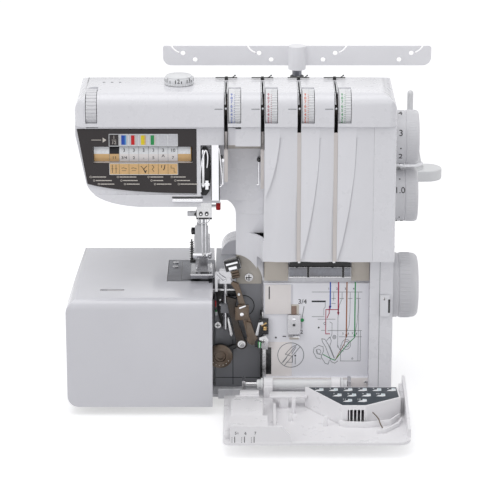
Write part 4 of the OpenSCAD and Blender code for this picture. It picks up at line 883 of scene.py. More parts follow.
for x in (-2.6, 2.6):
    add_rod(bm, (NEEDLE_X + x, NEEDLE_Y - 7.9, HEAD_Z - 20), (NEEDLE_X + x, NEEDLE_Y - 7.5, HEAD_Z - 20),
            0.8, n=6)
add_rod(bm, (NEEDLE_X + 0.4, NEEDLE_Y - 6.9, HEAD_Z - 7.2), (NEEDLE_X + 0.4, NEEDLE_Y - 6.1, HEAD_Z - 7.2),
        1.5, n=20, soft=0.2)
keep(bm, "clamp_sockets", nb, ns, "chrome")
# Thread eyelet below the clamp, and the whitish threader arm left of it
wire("clamp_eyelet", [(NEEDLE_X - 4.6, NEEDLE_Y - 6.0, HEAD_Z - 24),
                      (NEEDLE_X - 5.8, NEEDLE_Y - 7.6, HEAD_Z - 26.6),
                      (NEEDLE_X - 3.0, NEEDLE_Y - 8.6, HEAD_Z - 28.4),
                      (NEEDLE_X + 2.8, NEEDLE_Y - 8.4, HEAD_Z - 28.0),
                      (NEEDLE_X + 5.6, NEEDLE_Y - 6.8, HEAD_Z - 25.6),
                      (NEEDLE_X + 4.6, NEEDLE_Y - 5.6, HEAD_Z - 23.6)],
     0.45, nb, "chrome")
piece_of("threader_arm", nb, "white_plastic", "knob",
         box((NEEDLE_X - 14.6, NEEDLE_Y - 3.4, HEAD_Z - 23.2),
             (NEEDLE_X - 6.2, NEEDLE_Y + 0.6, HEAD_Z - 19.2), 0.5))
piece_of("threader_pivot", nb, ns, "gloss_black",
         rod((NEEDLE_X - 7.4, NEEDLE_Y - 4.1, HEAD_Z - 21.2),
             (NEEDLE_X - 7.4, NEEDLE_Y - 3.3, HEAD_Z - 21.2), 1.2, n=16),
         box((NEEDLE_X - 7.0, NEEDLE_Y - 4.6, HEAD_Z - 24.0),
             (NEEDLE_X - 6.0, NEEDLE_Y + 1.2, HEAD_Z - 18.4), 0.2))

# Take-up guides on the head's front: chrome loops with black backs
piece_of("take_up_back", "root", "black_plastic", "black",
         slab([(-43.8, 200), (-41.6, 196), (-38.0, 196), (-35.2, 200), (-34.0, 214), (-34.6, 232),
               (-36.6, 239), (-40.0, 240.6), (-42.4, 236), (-43.6, 222)], "Y", -56.5, -55.7, 0.3))
wire("take_up_loop", [(-42.6, -58.6, 200), (-43.4, -60.6, 212), (-42.6, -63.0, 224), (-40.4, -64.6, 234),
                      (-38.2, -64.2, 240), (-36.6, -62.4, 236), (-36.4, -60.4, 228), (-37.2, -58.6, 222)],
     0.75, "take_up", "chrome")
wire("strip_hook", [(-26.6, -60.0, 240), (-26.0, -62.4, 236), (-25.0, -62.8, 224), (-23.6, -61.6, 212),
                    (-24.0, -60.6, 206), (-26.2, -60.2, 205)], 0.6, "root", "chrome")
piece_of("guide_blacks", "root", "black_plastic", "gloss_black",
         box((-33.8, -60.4, 193.0), (-33.1, -57.6, 243.6), 0.1),
         box((-26.9, -60.4, 193.0), (-26.2, -57.6, 243.6), 0.1),
         rod((-24.8, -60.8, 231.5), (-24.8, -57.2, 231.5), 1.6, n=16, soft=0.3),
         rod((SLOT_X[1] - 3, -52.6, HEAD_Z + 38.4), (SLOT_X[1] - 3, -47.2, HEAD_Z + 38.4), 2.0, n=20,
             soft=0.4),
         box((-67.4, HEAD_F - 0.6, HEAD_Z + 8.2), (-40.6, HEAD_F + 0.6, HEAD_Z + 9.4), 0.2))

# Presser bar, its holder, spring and screws
pb = "presser"
piece_of("presser_guard", pb, "white_plastic", "knob",
         box((PRESSER_X - 6.2, PRESSER_Y - 8.8, BED_Z + 18),
             (PRESSER_X + 5.6, PRESSER_Y - 7.9, BED_Z + 45.5), 0.35),
         box((PRESSER_X - 4.8, PRESSER_Y - 8.2, BED_Z + 33), (PRESSER_X + 4.6, PRESSER_Y + 5.4, BED_Z + 45),
             0.8))
spring = []
for i in range(0, 97):
    t = i / 96
    a = t * 8 * math.tau
    spring.append((PRESSER_X - 9.4 + 1.5 * math.cos(a), PRESSER_Y - 3.4 + 1.5 * math.sin(a),
                   BED_Z + 12 + 17 * t))
wire("presser_spring", spring, 0.42, pb, "gloss_black", smooth=False, sides=1)
piece_of("presser_release", pb, "black_plastic", "gloss_black",
         rod((PRESSER_X - 9.4, PRESSER_Y - 3.4, BED_Z + 10.5),
             (PRESSER_X - 9.4, PRESSER_Y - 3.4, BED_Z + 31), 0.7, n=12),
         rod((PRESSER_X - 9.6, PRESSER_Y - 2, BED_Z + 38.5), (PRESSER_X - 5.8, PRESSER_Y - 2, BED_Z + 38.5),
             3.2, n=28, soft=0.4),
         box((PRESSER_X - 10.8, PRESSER_Y - 5.6, BED_Z + 9.4), (PRESSER_X - 6, PRESSER_Y - 1.4, BED_Z + 12),
             0.3))
bm = bmesh.new()
add_rod(bm, (PRESSER_X - 10.1, PRESSER_Y - 2, BED_Z + 38.5), (PRESSER_X - 9.5, PRESSER_Y - 2, BED_Z + 38.5),
        1.5, n=20, soft=0.2)
for x in (-6.6, 6.0):
    add_rod(bm, (NEEDLE_X + x, NEEDLE_Y - 6, BED_Z + 6.4), (NEEDLE_X + x, PRESSER_Y + 8, BED_Z + 4.0), 1.0,
            n=14, soft=0.2)
add_box(bm, (PRESSER_X - 8.2, PRESSER_Y - 10, BED_Z + 14.6),
        (PRESSER_X + 8.6, PRESSER_Y - 7.6, BED_Z + 20.4), 0.5)
keep(bm, "presser_chromes", pb, "chrome", "chrome")
pan_screw("presser_screw", (PRESSER_X + 1.5, PRESSER_Y - 10, BED_Z + 17.6), 2.1, pb, "steel", cross=False)
bm = bmesh.new()
for x in (-7.4, 3.8):
    add_box(bm, (NEEDLE_X + x, NEEDLE_Y - 14.6, BED_Z + 6.9),
            (NEEDLE_X + x + 1.0, NEEDLE_Y - 9.0, BED_Z + 8.0), 0.15)
add_box(bm, (NEEDLE_X - 12.2, NEEDLE_Y - 9.2, BED_Z + 3.2), (NEEDLE_X + 8.2, NEEDLE_Y - 8.4, BED_Z + 4.0),
        0.2)
keep(bm, "foot_grooves", pb, "black_plastic", "gloss_black")

# ---------------------------------------------------------------- loopers and their bulkhead

bl, bs = "root", "bulkhead_grey"
front = BULK_Y - 2.4
bm = bmesh.new()
add_box(bm, (-15.6, front - 0.12, FLOOR_Z + 2), (-15.0, front + 0.05, 56), 0.0)
add_box(bm, (-31.1, front - 0.1, 19.4), (10.3, front + 0.05, 20.0), 0.0)
ring(bm, COL_L + 6.5, 88, 9.7, 0.7, front + 0.02, 0.16, 40)
keep(bm, "bulkhead_seams", bl, bs, "black")
# The quarter plate's beige is painted shade: the plate lies in shadow under the column's overhang
piece_of("quarter_plate", bl, "white_plastic", "beige",
         slab([(COL_L + 0.4, BED_Z + 1.2)] + arc(COL_L, RIBBED_Z - 26, 23.0, -12, 90,
                                                 17) + [(COL_L + 0.4, RIBBED_Z - 3.1)], "Y", front - 0.25,
              front + 0.1, 0.2))
pan_screw("quarter_screw", (COL_L + 11.6, front - 0.2, 115), 3.7, bl, "chrome")
pan_screw("bulkhead_screw", (PLATE_R + 3, front - 0.1, 70), 3.0, bl, "chrome")
# Looper guides fixed to the bulkhead
piece_of("bulkhead_guard", bl, "black_plastic", "black",
         slab([(-29.8, 98), (-24.6, 98), (-23.4, 82), (-19.6, 71), (-21.4, 66), (-25.6, 70), (-28.6, 83)],
              "Y", front - 3.0, front - 0.02, 0.3),
         box((-30.4, front - 5.2, 98.6), (-9.0, front - 0.02, 104.5), 0.5))
bm = bmesh.new()
add_slab(bm, [(-20.6, 79), (-18.8, 78), (-15.0, 63), (-16.4, 60), (-18.0, 62)], "Y", front - 4.4,
         front - 3.0, 0.2)
for z, x in ((94.5, -26.6), (90, -26.4), (84.8, -25.4), (79.6, -23.8)):
    add_rod(bm, (x, front - 3.5, z), (x, front - 2.8, z), 0.95, n=14, soft=0.15)
add_box(bm, (-31.0, front - 6.6, 104.2), (-10.4, front - 4.6, 105.8), 0.3)
keep(bm, "guard_pins", bl, "steel", "screw")
piece_of("thread_mark_red", bl, "chart_print", "red",
         box((-31.1, front - 3.2, 88), (-29.9, front - 0.6, 93.4), 0.2))
piece_of("thread_mark_white", bl, "chart_print", "knob",
         box((-30.9, front - 2.8, 79.5), (-28.9, front - 0.4, 83.0), 0.3))
piece_of("thread_mark_green", bl, "chart_print", "green",
         box((-30.8, front - 3.0, 83.1), (-29.4, front - 0.4, 84.6), 0.2))

# Upper looper: shank, clamp block, needle end and coloured tip
ul = "upper_looper"
y = BULK_Y - 19
piece_of("looper_block", ul, "brown_steel", "oiled", box((-13.2, y - 3.0, 81), (-1.6, y + 0.4, 93.5), 0.5))
piece_of("looper_block_screw", ul, "steel", "chrome",
         rod((-7.2, y - 3.6, 86.8), (-7.2, y - 2.8, 86.8), 1.7, n=20, soft=0.2),
         slab([(-9.8, 93.2), (-4.0, 95.4), (-3.4, 94.2), (-9.2, 91.8)], "Y", y - 3.6, y + 0.3, 0.2))
piece_of("looper_socket", ul, "brown_steel", "oiled",
         slab([(-3.8, 79.8), (0.6, 78.0), (6.4, 62.4), (4.4, 57.6), (1.2, 57.0), (-1.4, 60.8)], "Y",
              y - 1.2, y - 0.02, 0.35))
piece_of("looper_tip", ul, "black_plastic", "black",
         slab([(6.2, 62.6), (9.4, 59.6), (8.0, 54.4), (4.4, 55.6), (4.2, 60.0)], "Y", y - 1.6, y + 0.6, 0.3))
piece_of("looper_mark_green", ul, "chart_print", "green",
         slab([(7.0, 60.6), (9.9, 60.2), (9.6, 54.6), (7.2, 55.0)], "Y", y - 2.0, y - 1.5, 0.15))
piece_of("looper_mark_white", ul, "chart_print", "ink_white",
         slab([(8.2, 60.4), (8.9, 60.3), (8.6, 54.8), (8.0, 54.9)], "Y", y - 2.2, y - 1.9),
         rod((-9.8, y - 1.6, 104.6), (-9.8, y - 0.2, 104.6), 1.1, n=16))

# Knife holder at the top of the loopers: black cap with a bright window, brown shank
uk = "upper_knife"
kx, ky = PLATE_R + 9.6, BULK_Y - 11
tilt_y = Matrix.Translation((kx + 1, 0, BED_Z + 14.8)) @ Matrix.Rotation(math.radians(15) * -1, 4, "Y")


def on_cap(bm, made):
    bmesh.ops.transform(bm, verts=made, matrix=tilt_y)


bm = bmesh.new()
on_cap(bm, add_box(bm, (0.0, ky - 1.3, 0.0), (14.0, ky + 8.2, 9.2), 0.8))
keep(bm, "knife_cap", uk, "black_plastic", "gloss_black")
bm = bmesh.new()
on_cap(bm, add_box(bm, (3.0, ky - 1.6, 1.0), (10.4, ky - 1.1, 4.0), 0.2))
on_cap(bm, add_box(bm, (1.6, ky - 1.5, 5.8), (12.2, ky - 1.1, 7.6), 0.15))
keep(bm, "knife_cap_plate", uk, "chrome", "chrome")
bm = bmesh.new()
for k in range(3):
    on_cap(bm, add_box(bm, (3.6, ky - 0.6, -2.6 - 2.6 * k), (10.6, ky + 6.4, -0.4 - 2.6 * k), 0.4))
keep(bm, "knife_shank", uk, "brown_steel", "oiled")
wire("knife_spring", [[(PLATE_R + 1.6, ky - 0.6, BED_Z + 13.0), (PLATE_R + 4.6, ky - 1.4, BED_Z + 9.6),
                       (PLATE_R + 8.0, ky - 1.2, BED_Z + 6.0), (PLATE_R + 11.0, ky - 0.8, BED_Z + 7.6)],
                      [(PLATE_R + 2.0, ky - 0.8, BED_Z + 15.6), (PLATE_R + 6.0, ky - 1.8, BED_Z + 11.4),
                       (PLATE_R + 10.4, ky - 1.2, BED_Z + 8.8)]], 0.5, uk, "chrome")

# Lower looper: its hub and screw
lo, ly = "lower_looper", BULK_Y - 14.5
piece_of("lower_looper_hub", lo, "steel", "screw",
         rod((-7.5, ly - 0.6, 56), (-7.5, ly + 0.2, 56), 3.6, n=28, soft=0.3))
pan_screw("lower_looper_screw", (-7.5, ly - 0.6, 56), 2.0, lo, "steel", cross=False)

# Cutting width disc: dark, with a lever, a hub hole and a scale of dots
cd, cx, cz, cy = "cutting_width_dial", -26.6, 43.0, BULK_Y - 9
bm = bmesh.new()
add_lathe(bm, [(3.2, 0), (10.4, 0), (11.0, 0.6), (11.0, 2.6), (8.4, 3.4), (5.2, 3.4), (4.6, 2.4), (3.2, 2.4)],
          (cx, cy + 0.6, cz), "Y", 56)
bmesh.ops.scale(bm, vec=(1, -1, 1), verts=bm.verts, space=Matrix.Translation((0, -(cy + 0.6), 0)))
add_rod(bm, (cx, cy - 0.4, cz), (cx, cy + 1.2, cz), 3.3, n=24)
keep(bm, "cutting_disc", cd, "black_plastic", "oiled")
piece_of("cutting_lever", cd, "black_plastic", "black",
         slab([(cx + 5.6, cz + 8.2), (cx + 13.6, cz + 11.6), (cx + 18.6, cz + 16.2), (cx + 20.6, cz + 14.2),
               (cx + 16.8, cz + 9.2), (cx + 9.2, cz + 4.6)], "Y", cy - 2.0, cy + 0.6, 0.5))
bm = bmesh.new()
for k in range(7):
    t = math.radians(200 + 22 * k)
    add_rod(bm, (cx + 8.4 * math.cos(t), cy - 3.0, cz + 8.4 * math.sin(t)),
            (cx + 8.4 * math.cos(t), cy - 2.6, cz + 8.4 * math.sin(t)), 0.45, n=8)
keep(bm, "cutting_scale", cd, "chart_print", "ink_pale")

# Brass thread piece and bright bracket on the guide bar beside the chart
piece_of("guide_bar_blacks", bl, "black_plastic", "gloss_black",
         box((8.2, -52.6, 66.0), (16.4, -48.6, 80.5), 0.4),
         box((9.0, -50.6, FLOOR_Z + 8), (10.9, -35.8, 84.0), 0.2),
         box((14.2, CHART_Y - 0.5, FLOOR_Z + 16), (19.0, CHART_Y + 0.05, 52.6), 0.1))
piece_of("brass_guide", bl, "bronze", "brass",
         lathe([(0, 0), (1.6, 0), (2.1, 0.8), (1.5, 1.6), (2.1, 2.6), (1.4, 3.4), (0, 3.4)],
               (13.2, -53.4, 70.8), "Z", 24),
         rod((10.2, -53.0, 74.6), (14.6, -53.0, 77.2), 0.8, n=12))
piece_of("guide_bar_plates", bl, "steel", "screw",
         slab([(4.6, 66), (7.4, 78), (11.4, 79), (12.0, 76), (8.8, 75.6), (7.2, 65.6)], "Y", -54.6, -53.8,
              0.25),
         slab([(7.6, 57.0), (8.2, 63.6), (14.2, 65.8), (16.6, 61.6), (15.8, 52.4), (11.4, 52.2)], "Y",
              -53.6, -52.6, 0.3),
         box((11.3, CHART_Y - 1.6, FLOOR_Z + 12), (14.0, CHART_Y - 0.3, 56), 0.3))
pan_screw("guide_bar_screw", (11.8, -53.6, 60.2), 1.9, bl, "chrome")


# ---------------------------------------------------------------- threading chart

cy = CHART_Y


def fitted(bm):
    """Moves a drawing to its place on the chart and stretches it downwards."""
    place = Matrix.Translation((-5.4, 0, 104.6)) @ Matrix.Scale(1.17, 4,
        (0, 0, 1)) @ Matrix.Translation((0, 0, -104.6))
    bmesh.ops.transform(bm, verts=bm.verts, matrix=place)
    return bm


def on_chart(x, z):
    return facing(x - 5.4, sheet_y - 0.1, 104.6 - (104.6 - z) * 1.17, "-Y")


piece_of("chart_label", "root", "chart_print", "label",
         box((CHART_L + 1.2, cy - 1.45, 84.2), (CHART_L + 24.3, cy - 1.1, RIBBED_Z - 27.8), 0.3))
piece_of("chart_sheet", "root", "chart_print", "chart",
         box((CHART_L + 25.6, cy - 0.3, 25.4), (PILLAR_L - 0.6, cy + 0.02, RIBBED_Z - 27.0), 0.12))
piece_of("chart_ledge", "root", "chart_print", "label",
         box((CHART_L + 0.4, cy - 3.3, FLOOR_Z + 1), (PILLAR_L - 0.4, cy - 2.9, 24.6), 0.15),
         box((CHART_L + 0.6, cy - 0.35, 25.3), (CHART_L + 25.2, cy - 0.02, 57.6), 0.12))
sheet_y = cy - 0.3
for name, x, finish in (("blue", 76.4, "ink_blue"), ("red", 83.6, "ink_crimson"),
                        ("brown", 91.0, "ink_brown"),
                        ("green", 98.4, "ink_green")):
    bm = bmesh.new()
    low = {"blue": 93.0, "red": 88.0, "brown": 70.0, "green": 70.0}[name]
    stroke(bm, [(x, RIBBED_Z - 27.4), (x, low)], 1.0, sheet_y)
    add_slab(bm, [(x - 1.1, low + 0.4), (x + 1.1, low + 0.4), (x, low - 2.4)], "Y", sheet_y - 0.12, sheet_y)
    if name == "red":
        stroke(bm, [(83.6, 90.5), (72.6, 90.5), (72.6, 71.0), (76.2, 71.0)], 0.6, sheet_y)
        stroke(bm, [(75.6, 93.4), (75.6, 87.6), (73.8, 84.0)], 0.6, sheet_y)
    if name == "brown":
        stroke(bm, [(91.0, 69), (89.2, 62.8), (84.6, 55.4), (81.8, 50.4)], 0.5, sheet_y)
    if name == "green":
        stroke(bm, [(98.4, 68), (93.0, 63.4), (86.6, 56.2), (81.2, 49.6), (78.2, 50.6), (70.6, 54.2)], 0.6,
               sheet_y)
    keep(fitted(bm), "chart_thread_" + name, "root", "chart_print", finish)
bm = bmesh.new()
for run in ([(60.2, 104.6), (104.6, 104.6)], [(60.4, 97.6), (72.0, 97.6)], [(60.4, 96.6), (72.0, 96.6)],
            [(60.4, 84.8), (71.2, 84.8)], [(65.6, 82.8), (81.0, 82.8)], [(101.6, 98.6), (101.6, 49.0)],
            [(103.6, 73.6), (103.6, 49.0)], [(79.4, 104.2), (79.4, 97.8)],
            [(86.8, 104.2), (86.8, 99.0), (84.4, 94.0), (83.4, 84.0), (83.4, 60.0)],
            [(94.0, 104.2), (94.0, 88.0), (93.4, 78.0), (91.4, 72.6)],
            [(101.2, 104.2), (101.2, 92), (100.4, 80), (98.8, 72.0)],
            [(68.6, 73.8), (72.0, 73.8)], [(74.4, 73.6), (104.6, 73.6)], [(84.6, 68.6), (104.6, 68.6)],
            [(86, 49.0), (103.6, 49.0)], [(86, 49.0), (86, 62.0)],
            [(76.2, 80.6), (78.2, 79.6), (78.2, 71.0), (76.8, 67.6)],
            [(72.0, 96.2), (72.0, 92.2), (70.8, 91.4), (70.8, 86.0)], [(77.6, 99.4), (81.0, 99.4)],
            [(77.6, 95.4), (81.0, 95.4)],
            [(84.8, 99.4), (88.4, 99.4)], [(92.2, 99.4), (95.8, 99.4)], [(99.6, 99.4), (103.0, 99.4)]):
    stroke(bm, run, 0.32, sheet_y)
# Looper outlines in the lower half of the chart
for run in ([(69.8, 64.6), (72.6, 60.6), (77.8, 48.4), (81.0, 47.2), (83.6, 49.0)],
            [(72.0, 66.6), (75.0, 62.4), (80.4, 51.2)],
            [(69.8, 64.6), (69.2, 67.0), (72.0, 66.6)], [(73.6, 65.6), (76.2, 68.4), (77.8, 65.4),
                                                         (76.4, 61.0), (80.6, 51.4)],
            [(63.0, 59.6), (66.8, 61.6), (70.4, 60.6), (71.0, 57.4), (68.8, 52.2), (72.6, 47.0),
             (75.2, 46.4), (76.2, 49.6)],
            [(62.4, 59.8), (61.8, 56.2), (64.6, 51.6), (68.8, 50.6)],
            [(64.4, 58.2), (66.2, 54.8), (69.2, 53.8)],
            [(83.4, 62), (85.2, 58.2), (88.6, 57.0)]):
    stroke(bm, run, 0.42, sheet_y)
for x, z, r in ((91.0, 62.4, 4.0), (91.4, 62.6, 2.2), (66.4, 56.6, 2.0), (80.4, 68.4, 1.5),
                (80.4, 68.4, 0.7), (71.8, 79.4, 1.0),
                (96.6, 51.0, 0.6)):
    ring(bm, x, z, r, 0.36, sheet_y, n=24)
keep(fitted(bm), "chart_lines", "root", "chart_print", "ink_grey")
# Round pictogram: a spool and thread, crossed by a line
bm = bmesh.new()
px, pz = 36.3, 45.2
ring(bm, px, pz, 11.6, 0.5, sheet_y - 0.1, n=48)
for run in ([(px - 8.0, pz - 7.6), (px + 5.4, pz + 10.2)], [(px - 5.4, pz - 9.6), (px + 8.2, pz + 7.8)],
            [(px - 5.0, pz + 0.6), (px + 0.4, pz + 7.2), (px + 3.6, pz + 9.0)],
            [(px + 1.0, pz + 1.4), (px + 4.6, pz + 7.4)],
            [(px - 4.6, pz + 0.8), (px + 1.6, pz - 1.4), (px + 1.6, pz - 6.8), (px - 3.8, pz - 6.8)],
            [(px + 4.0, pz - 2.4), (px + 4.0, pz - 8.6)], [(px - 6.6, pz - 6.6), (px - 3.6, pz - 2.4)]):
    stroke(bm, run, 0.45, sheet_y - 0.1)
keep(bm, "chart_pictogram", "root", "chart_print", "ink_grey")
bm = bmesh.new()
for run in ([(53.2, 93.0), (51.6, 83.6)], [(51.4, 80.6), (51.4, 75.4)], [(60.4, 97.1), (72.0, 97.1)]):
    stroke(bm, run, 0.4 if run[0][0] < 60 else 1.0, sheet_y)
fitted(bm)
stroke(bm, [(CHART_L + 5.0, 109.6), (CHART_L + 5.0, 98.6)], 0.9, cy - 1.45)
for x, z in ((px + 4.0, pz - 0.6), (61.0, 71.2), (23.0, 61.8)):
    add_rod(bm, (x, sheet_y, z), (x, sheet_y - 0.14, z), 0.8, n=16)
add_box(bm, (29.0, cy - 0.55, 62.6), (32.0, cy - 0.3, 63.2))
keep(bm, "chart_blacks", "root", "chart_print", "ink_black")
rows = [("3/4", 4.4, 51.8, 96.8), ("2", 3.8, 51.2, 72.4)]
rows += [(str(i + 1), 2.0, x, 107.2) for i, x in enumerate((75.0, 82.2, 89.6, 97.0))]
rows += [(str(i + 5), 1.8, x, 71.2) for i, x in enumerate((88.0, 92.8, 96.4, 100.0))]
letters("chart_numbers", [(text, size, on_chart(x, z)) for text, size, x, z in rows], "root", "chart_print",
        "ink_black", 0.05)
piece_of("chart_green_dot", "root", "chart_print", "ink_green",
         rod((46.2, sheet_y, 78.2), (46.2, sheet_y - 0.16, 78.2), 1.7, n=24))

# Selector: beige window behind, rivets and a bent lip
piece_of("selector_track", "root", "white_plastic", "beige",
         box((CHART_L + 23.0, cy - 0.75, 60.0), (CHART_L + 31.2, cy - 0.2, 93.0), 0.2))
piece_of("selector_slot", "root", "black_plastic", "ink_umber",
         box((CHART_L + 24.7, cy - 0.9, 62.4), (CHART_L + 29.3, cy - 0.7, 91.6), 0.05))
bm = bmesh.new()
add_slab(bm, [(cy - 3.3, 66.2), (cy - 5.6, 64.6), (cy - 5.6, 63.8), (cy - 3.0, 65.2)], "X", CHART_L + 22.0,
         CHART_L + 32.2, 0.2)
for z in (80.2,):
    add_rod(bm, (CHART_L + 27, cy - 4.3, z), (CHART_L + 27, cy - 3.3, z), 1.6, n=20, soft=0.35)
keep(bm, "selector_lip", "stitch_selector", "chrome", "chrome")
piece_of("selector_rivet", "stitch_selector", "black_plastic", "gloss_black",
         rod((CHART_L + 27, cy - 4.9, 75), (CHART_L + 27, cy - 4.3, 75), 1.2, n=20, soft=0.2))
pan_screw("chart_screw", (69.7, cy - 3.1, 19), 3.3, "root", "chrome")
pan_screw("chart_screw_right", (103.4, cy - 3.2, 20.6), 1.6, "root", "chrome")

# Tension plate above the chart: black top, bright discs and dividing slots
gx0, gx1, gz0, gz1 = CHART_L + 22, CHART_L + 77, RIBBED_Z - 20.5, RIBBED_Z - 11
bm = bmesh.new()
add_box(bm, (gx0 + 1, cy - 2.4, gz1 - 0.1), (gx1 - 1, cy + 2.0, gz1 + 9.4), 0.3)
for x in (51.2, 82.0):
    add_box(bm, (x - 1.0, cy - 3.15, gz0 + 0.2), (x + 1.0, cy - 1.2, gz1 + 0.1))
keep(bm, "tension_plate_black", "root", "black_plastic", "black")
bm = bmesh.new()
for x0, x1 in ((gx0 + 0.3, 50.1), (52.3, 80.9), (83.1, gx1 - 0.3)):
    add_box(bm, (x0, cy - 3.3, gz0 + 1.1), (x1, cy - 2.95, gz1 - 0.3), 0.12)
keep(bm, "tension_plate_face", "root", "steel", "plate")
bm = bmesh.new()
for x0, x1 in ((gx0 + 0.1, 50.2), (52.2, 81.0), (83.0, gx1 - 0.1)):
    add_box(bm, (x0, cy - 3.6, gz0 - 0.2), (x1, cy - 2.9, gz0 + 0.9), 0.15)
for x in (43.2, 73.8):
    for k, r in ((0, 1.9), (0.9, 1.3)):
        add_rod(bm, (x, cy - 2.2 - k, gz1 + 5), (x, cy - 1.4 - k, gz1 + 5), r, n=28, soft=0.2)
keep(bm, "tension_plate_discs", "root", "chrome", "screw")

# Wall of the hollow above the chart: tan-grey patches that are painted shade of the cavity
piece_of("hollow_shade_patch", "root", "grey_plastic", "hollow",
         box((CHART_L + 0.6, cy - 0.5, RIBBED_Z - 24.4), (gx0 - 0.4, cy - 0.1, RIBBED_Z - 1.2), 0.1),
         box((gx1 + 0.4, cy - 0.5, RIBBED_Z - 24.4), (PILLAR_L - 0.4, cy - 0.1, RIBBED_Z - 1.2), 0.1))

# Pillar: parting line, white latch and its dark slot
piece_of("pillar_line", "root", "grey_plastic", "ink_grey",
         box((PILLAR_L + 8.6, PILLAR_Y - 0.1, FLOOR_Z + 2), (PILLAR_L + 9.0, PILLAR_Y + 0.05, RIBBED_Z - 3)))
piece_of("latch_plate", "root", "white_plastic", "knob",
         box((COL_R - 11.4, PILLAR_Y - 2.7, 84.2), (COL_R - 2.6, PILLAR_Y - 0.05, 104.4), 0.5))
piece_of("latch_slot", "root", "black_plastic", "gloss_black",
         box((COL_R - 4.2, PILLAR_Y - 3.0, 88.0), (COL_R - 2.5, PILLAR_Y - 1.8, 100.6), 0.2))
pan_screw("latch_screw", (COL_R - 7.6, PILLAR_Y - 2.7, 101.0), 1.4, "root", "chrome")

# ---------------------------------------------------------------- looper cover

lc = "looper_cover"
floor_top = DOOR_Z + 2.5
shelf_top = HINGE_Z + 8.5
sx, sy = DOOR_L + 71, HINGE_Y - 29
core = [(sx + 3.2, sy - 1.6), (sx + 79.6, sy - 1.6), (sx + 80.8, sy - 24.2), (sx + 51.4, sy - 43.4),
        (sx + 31.4, sy - 43.4)]
piece_of("storage_pad", lc, "black_plastic", "pad",
         slab(core, "Z", shelf_top - 0.4, shelf_top + 0.25, 0.15))
# Twelve presser-foot pictograms in rows of six, four and two
foot, tick_bm, numbers = bmesh.new(), bmesh.new(), []
count = 0
for row, (y, xs) in enumerate(((sy - 7.6, [sx + 12 + 12.6 * i for i in range(6)]),
                               (sy - 20.4, [sx + 27.4 + 12.6 * i for i in range(4)]),
                               (sy - 33.2, [sx + 36.0 + 12.6 * i for i in range(2)]))):
    for x in xs:
        count += 1
        top = shelf_top + 0.32
        add_slab(foot, [(x - 4.0, y - 2.8), (x + 1.2, y - 3.4), (x + 4.0, y - 2.4), (x + 4.0, y + 3.2),
                        (x + 0.6, y + 3.6),
                        (x + 0.4, y + 0.4), (x - 2.0, y - 0.4)], "Z", top - 0.2, top)
        for k in range(2 + count % 3):
            add_box(tick_bm, (x + 0.9, y + 2.4 - 1.5 * k, top), (x + 3.6, y + 2.9 - 1.5 * k, top + 0.06))
        numbers.append((str(count), 2.4, facing(x - 2.6, y + 3.0, top - 0.05, "+Z")))
keep(foot, "storage_icons", lc, "chart_print", "ink_white")
keep(tick_bm, "storage_icon_bars", lc, "chart_print", "ink_ice")
letters("storage_numbers", numbers, lc, "chart_print", "ink_white", 0.05)
# Skirt, ribs and compartments below the shelf
bm = bmesh.new()
for x0, x1, y0 in ((sx + 32.6, sx + 34.2, sy - 44.6), (sx + 50.0, sx + 51.4, sy - 44.4)):
    add_box(bm, (x0, y0, floor_top - 0.2), (x1, y0 + 1.6, shelf_top - 1), 0.25)
for k in range(5):
    x = sx + 37 + 3.2 * k
    add_slab(bm, [(sy - 46.6, floor_top), (sy - 45, shelf_top - 1.2 - 1.5 * (k % 2)),
                  (sy - 44.2, shelf_top - 1.2), (sy - 44.2, floor_top)],
             "X", x, x + 0.9, 0.15)
add_slab(bm, [(sx + 28.5, sy - 44.5), (sx + 33.6, sy - 48.4), (sx + 52, sy - 49.6), (sx + 73, sy - 44.0),
              (sx + 81.6, sy - 30.0),
              (sx + 80.4, sy - 29.4), (sx + 72.2, sy - 42.9), (sx + 51.8, sy - 48.4),
              (sx + 34.0, sy - 47.2), (sx + 29.4, sy - 43.6)],
         "Z", floor_top - 0.2, floor_top + 5.4, 0.35)
for x, y, h in ((DOOR_L + 61.0, HINGE_Y - 44, 14.5), (DOOR_L + 88.0, HINGE_Y - 73.6, 9.0),
                (DOOR_L + 58, HINGE_Y - 62, 6.5)):
    add_rod(bm, (x, y, floor_top - 0.3), (x, y, floor_top + h), 2.0, 1.6, n=24, soft=0.3)
add_box(bm, (DOOR_L + 40.0, HINGE_Y - 34, floor_top + 9.4), (DOOR_L + 73.0, HINGE_Y - 21.8,
    floor_top + 11.6), 0.7)
add_box(bm, (DOOR_L + 48.6, HINGE_Y - 33.2, floor_top - 0.3), (DOOR_L + 56.6, HINGE_Y - 31, floor_top + 10),
        0.5)
add_box(bm, (DOOR_L + 44.4, HINGE_Y - 70.4, floor_top - 0.2),
        (DOOR_L + 46.0, HINGE_Y - 50.4, floor_top + 2.6), 0.3)
keep(bm, "cover_ribs", lc, "white_plastic", "door")
# Left compartment: hollow block with a raised lid, and steps along the left edge
piece_of("cover_compartment", lc, "white_plastic", "door",
         box((DOOR_L + 6.2, DOOR_F + 26.0, floor_top - 0.2), (DOOR_L + 34.6, HINGE_Y - 36.0, DOOR_Z + 14.0),
             2.2, 3),
         box((DOOR_L + 8.0, HINGE_Y - 35.6, floor_top - 0.2), (DOOR_L + 33.0, HINGE_Y - 26.0, DOOR_Z + 6.0),
             0.8),
         box((DOOR_L + 0.6, DOOR_F + 8.0, DOOR_Z + 0.4), (DOOR_L + 6.4, HINGE_Y - 20.0, DOOR_Z + 6.4), 0.8),
         box((DOOR_L + 14.0, HINGE_Y - 19.8, DOOR_Z + 2.2), (DOOR_L + 31.0, HINGE_Y - 12.0, DOOR_Z + 11.6),
             0.9))
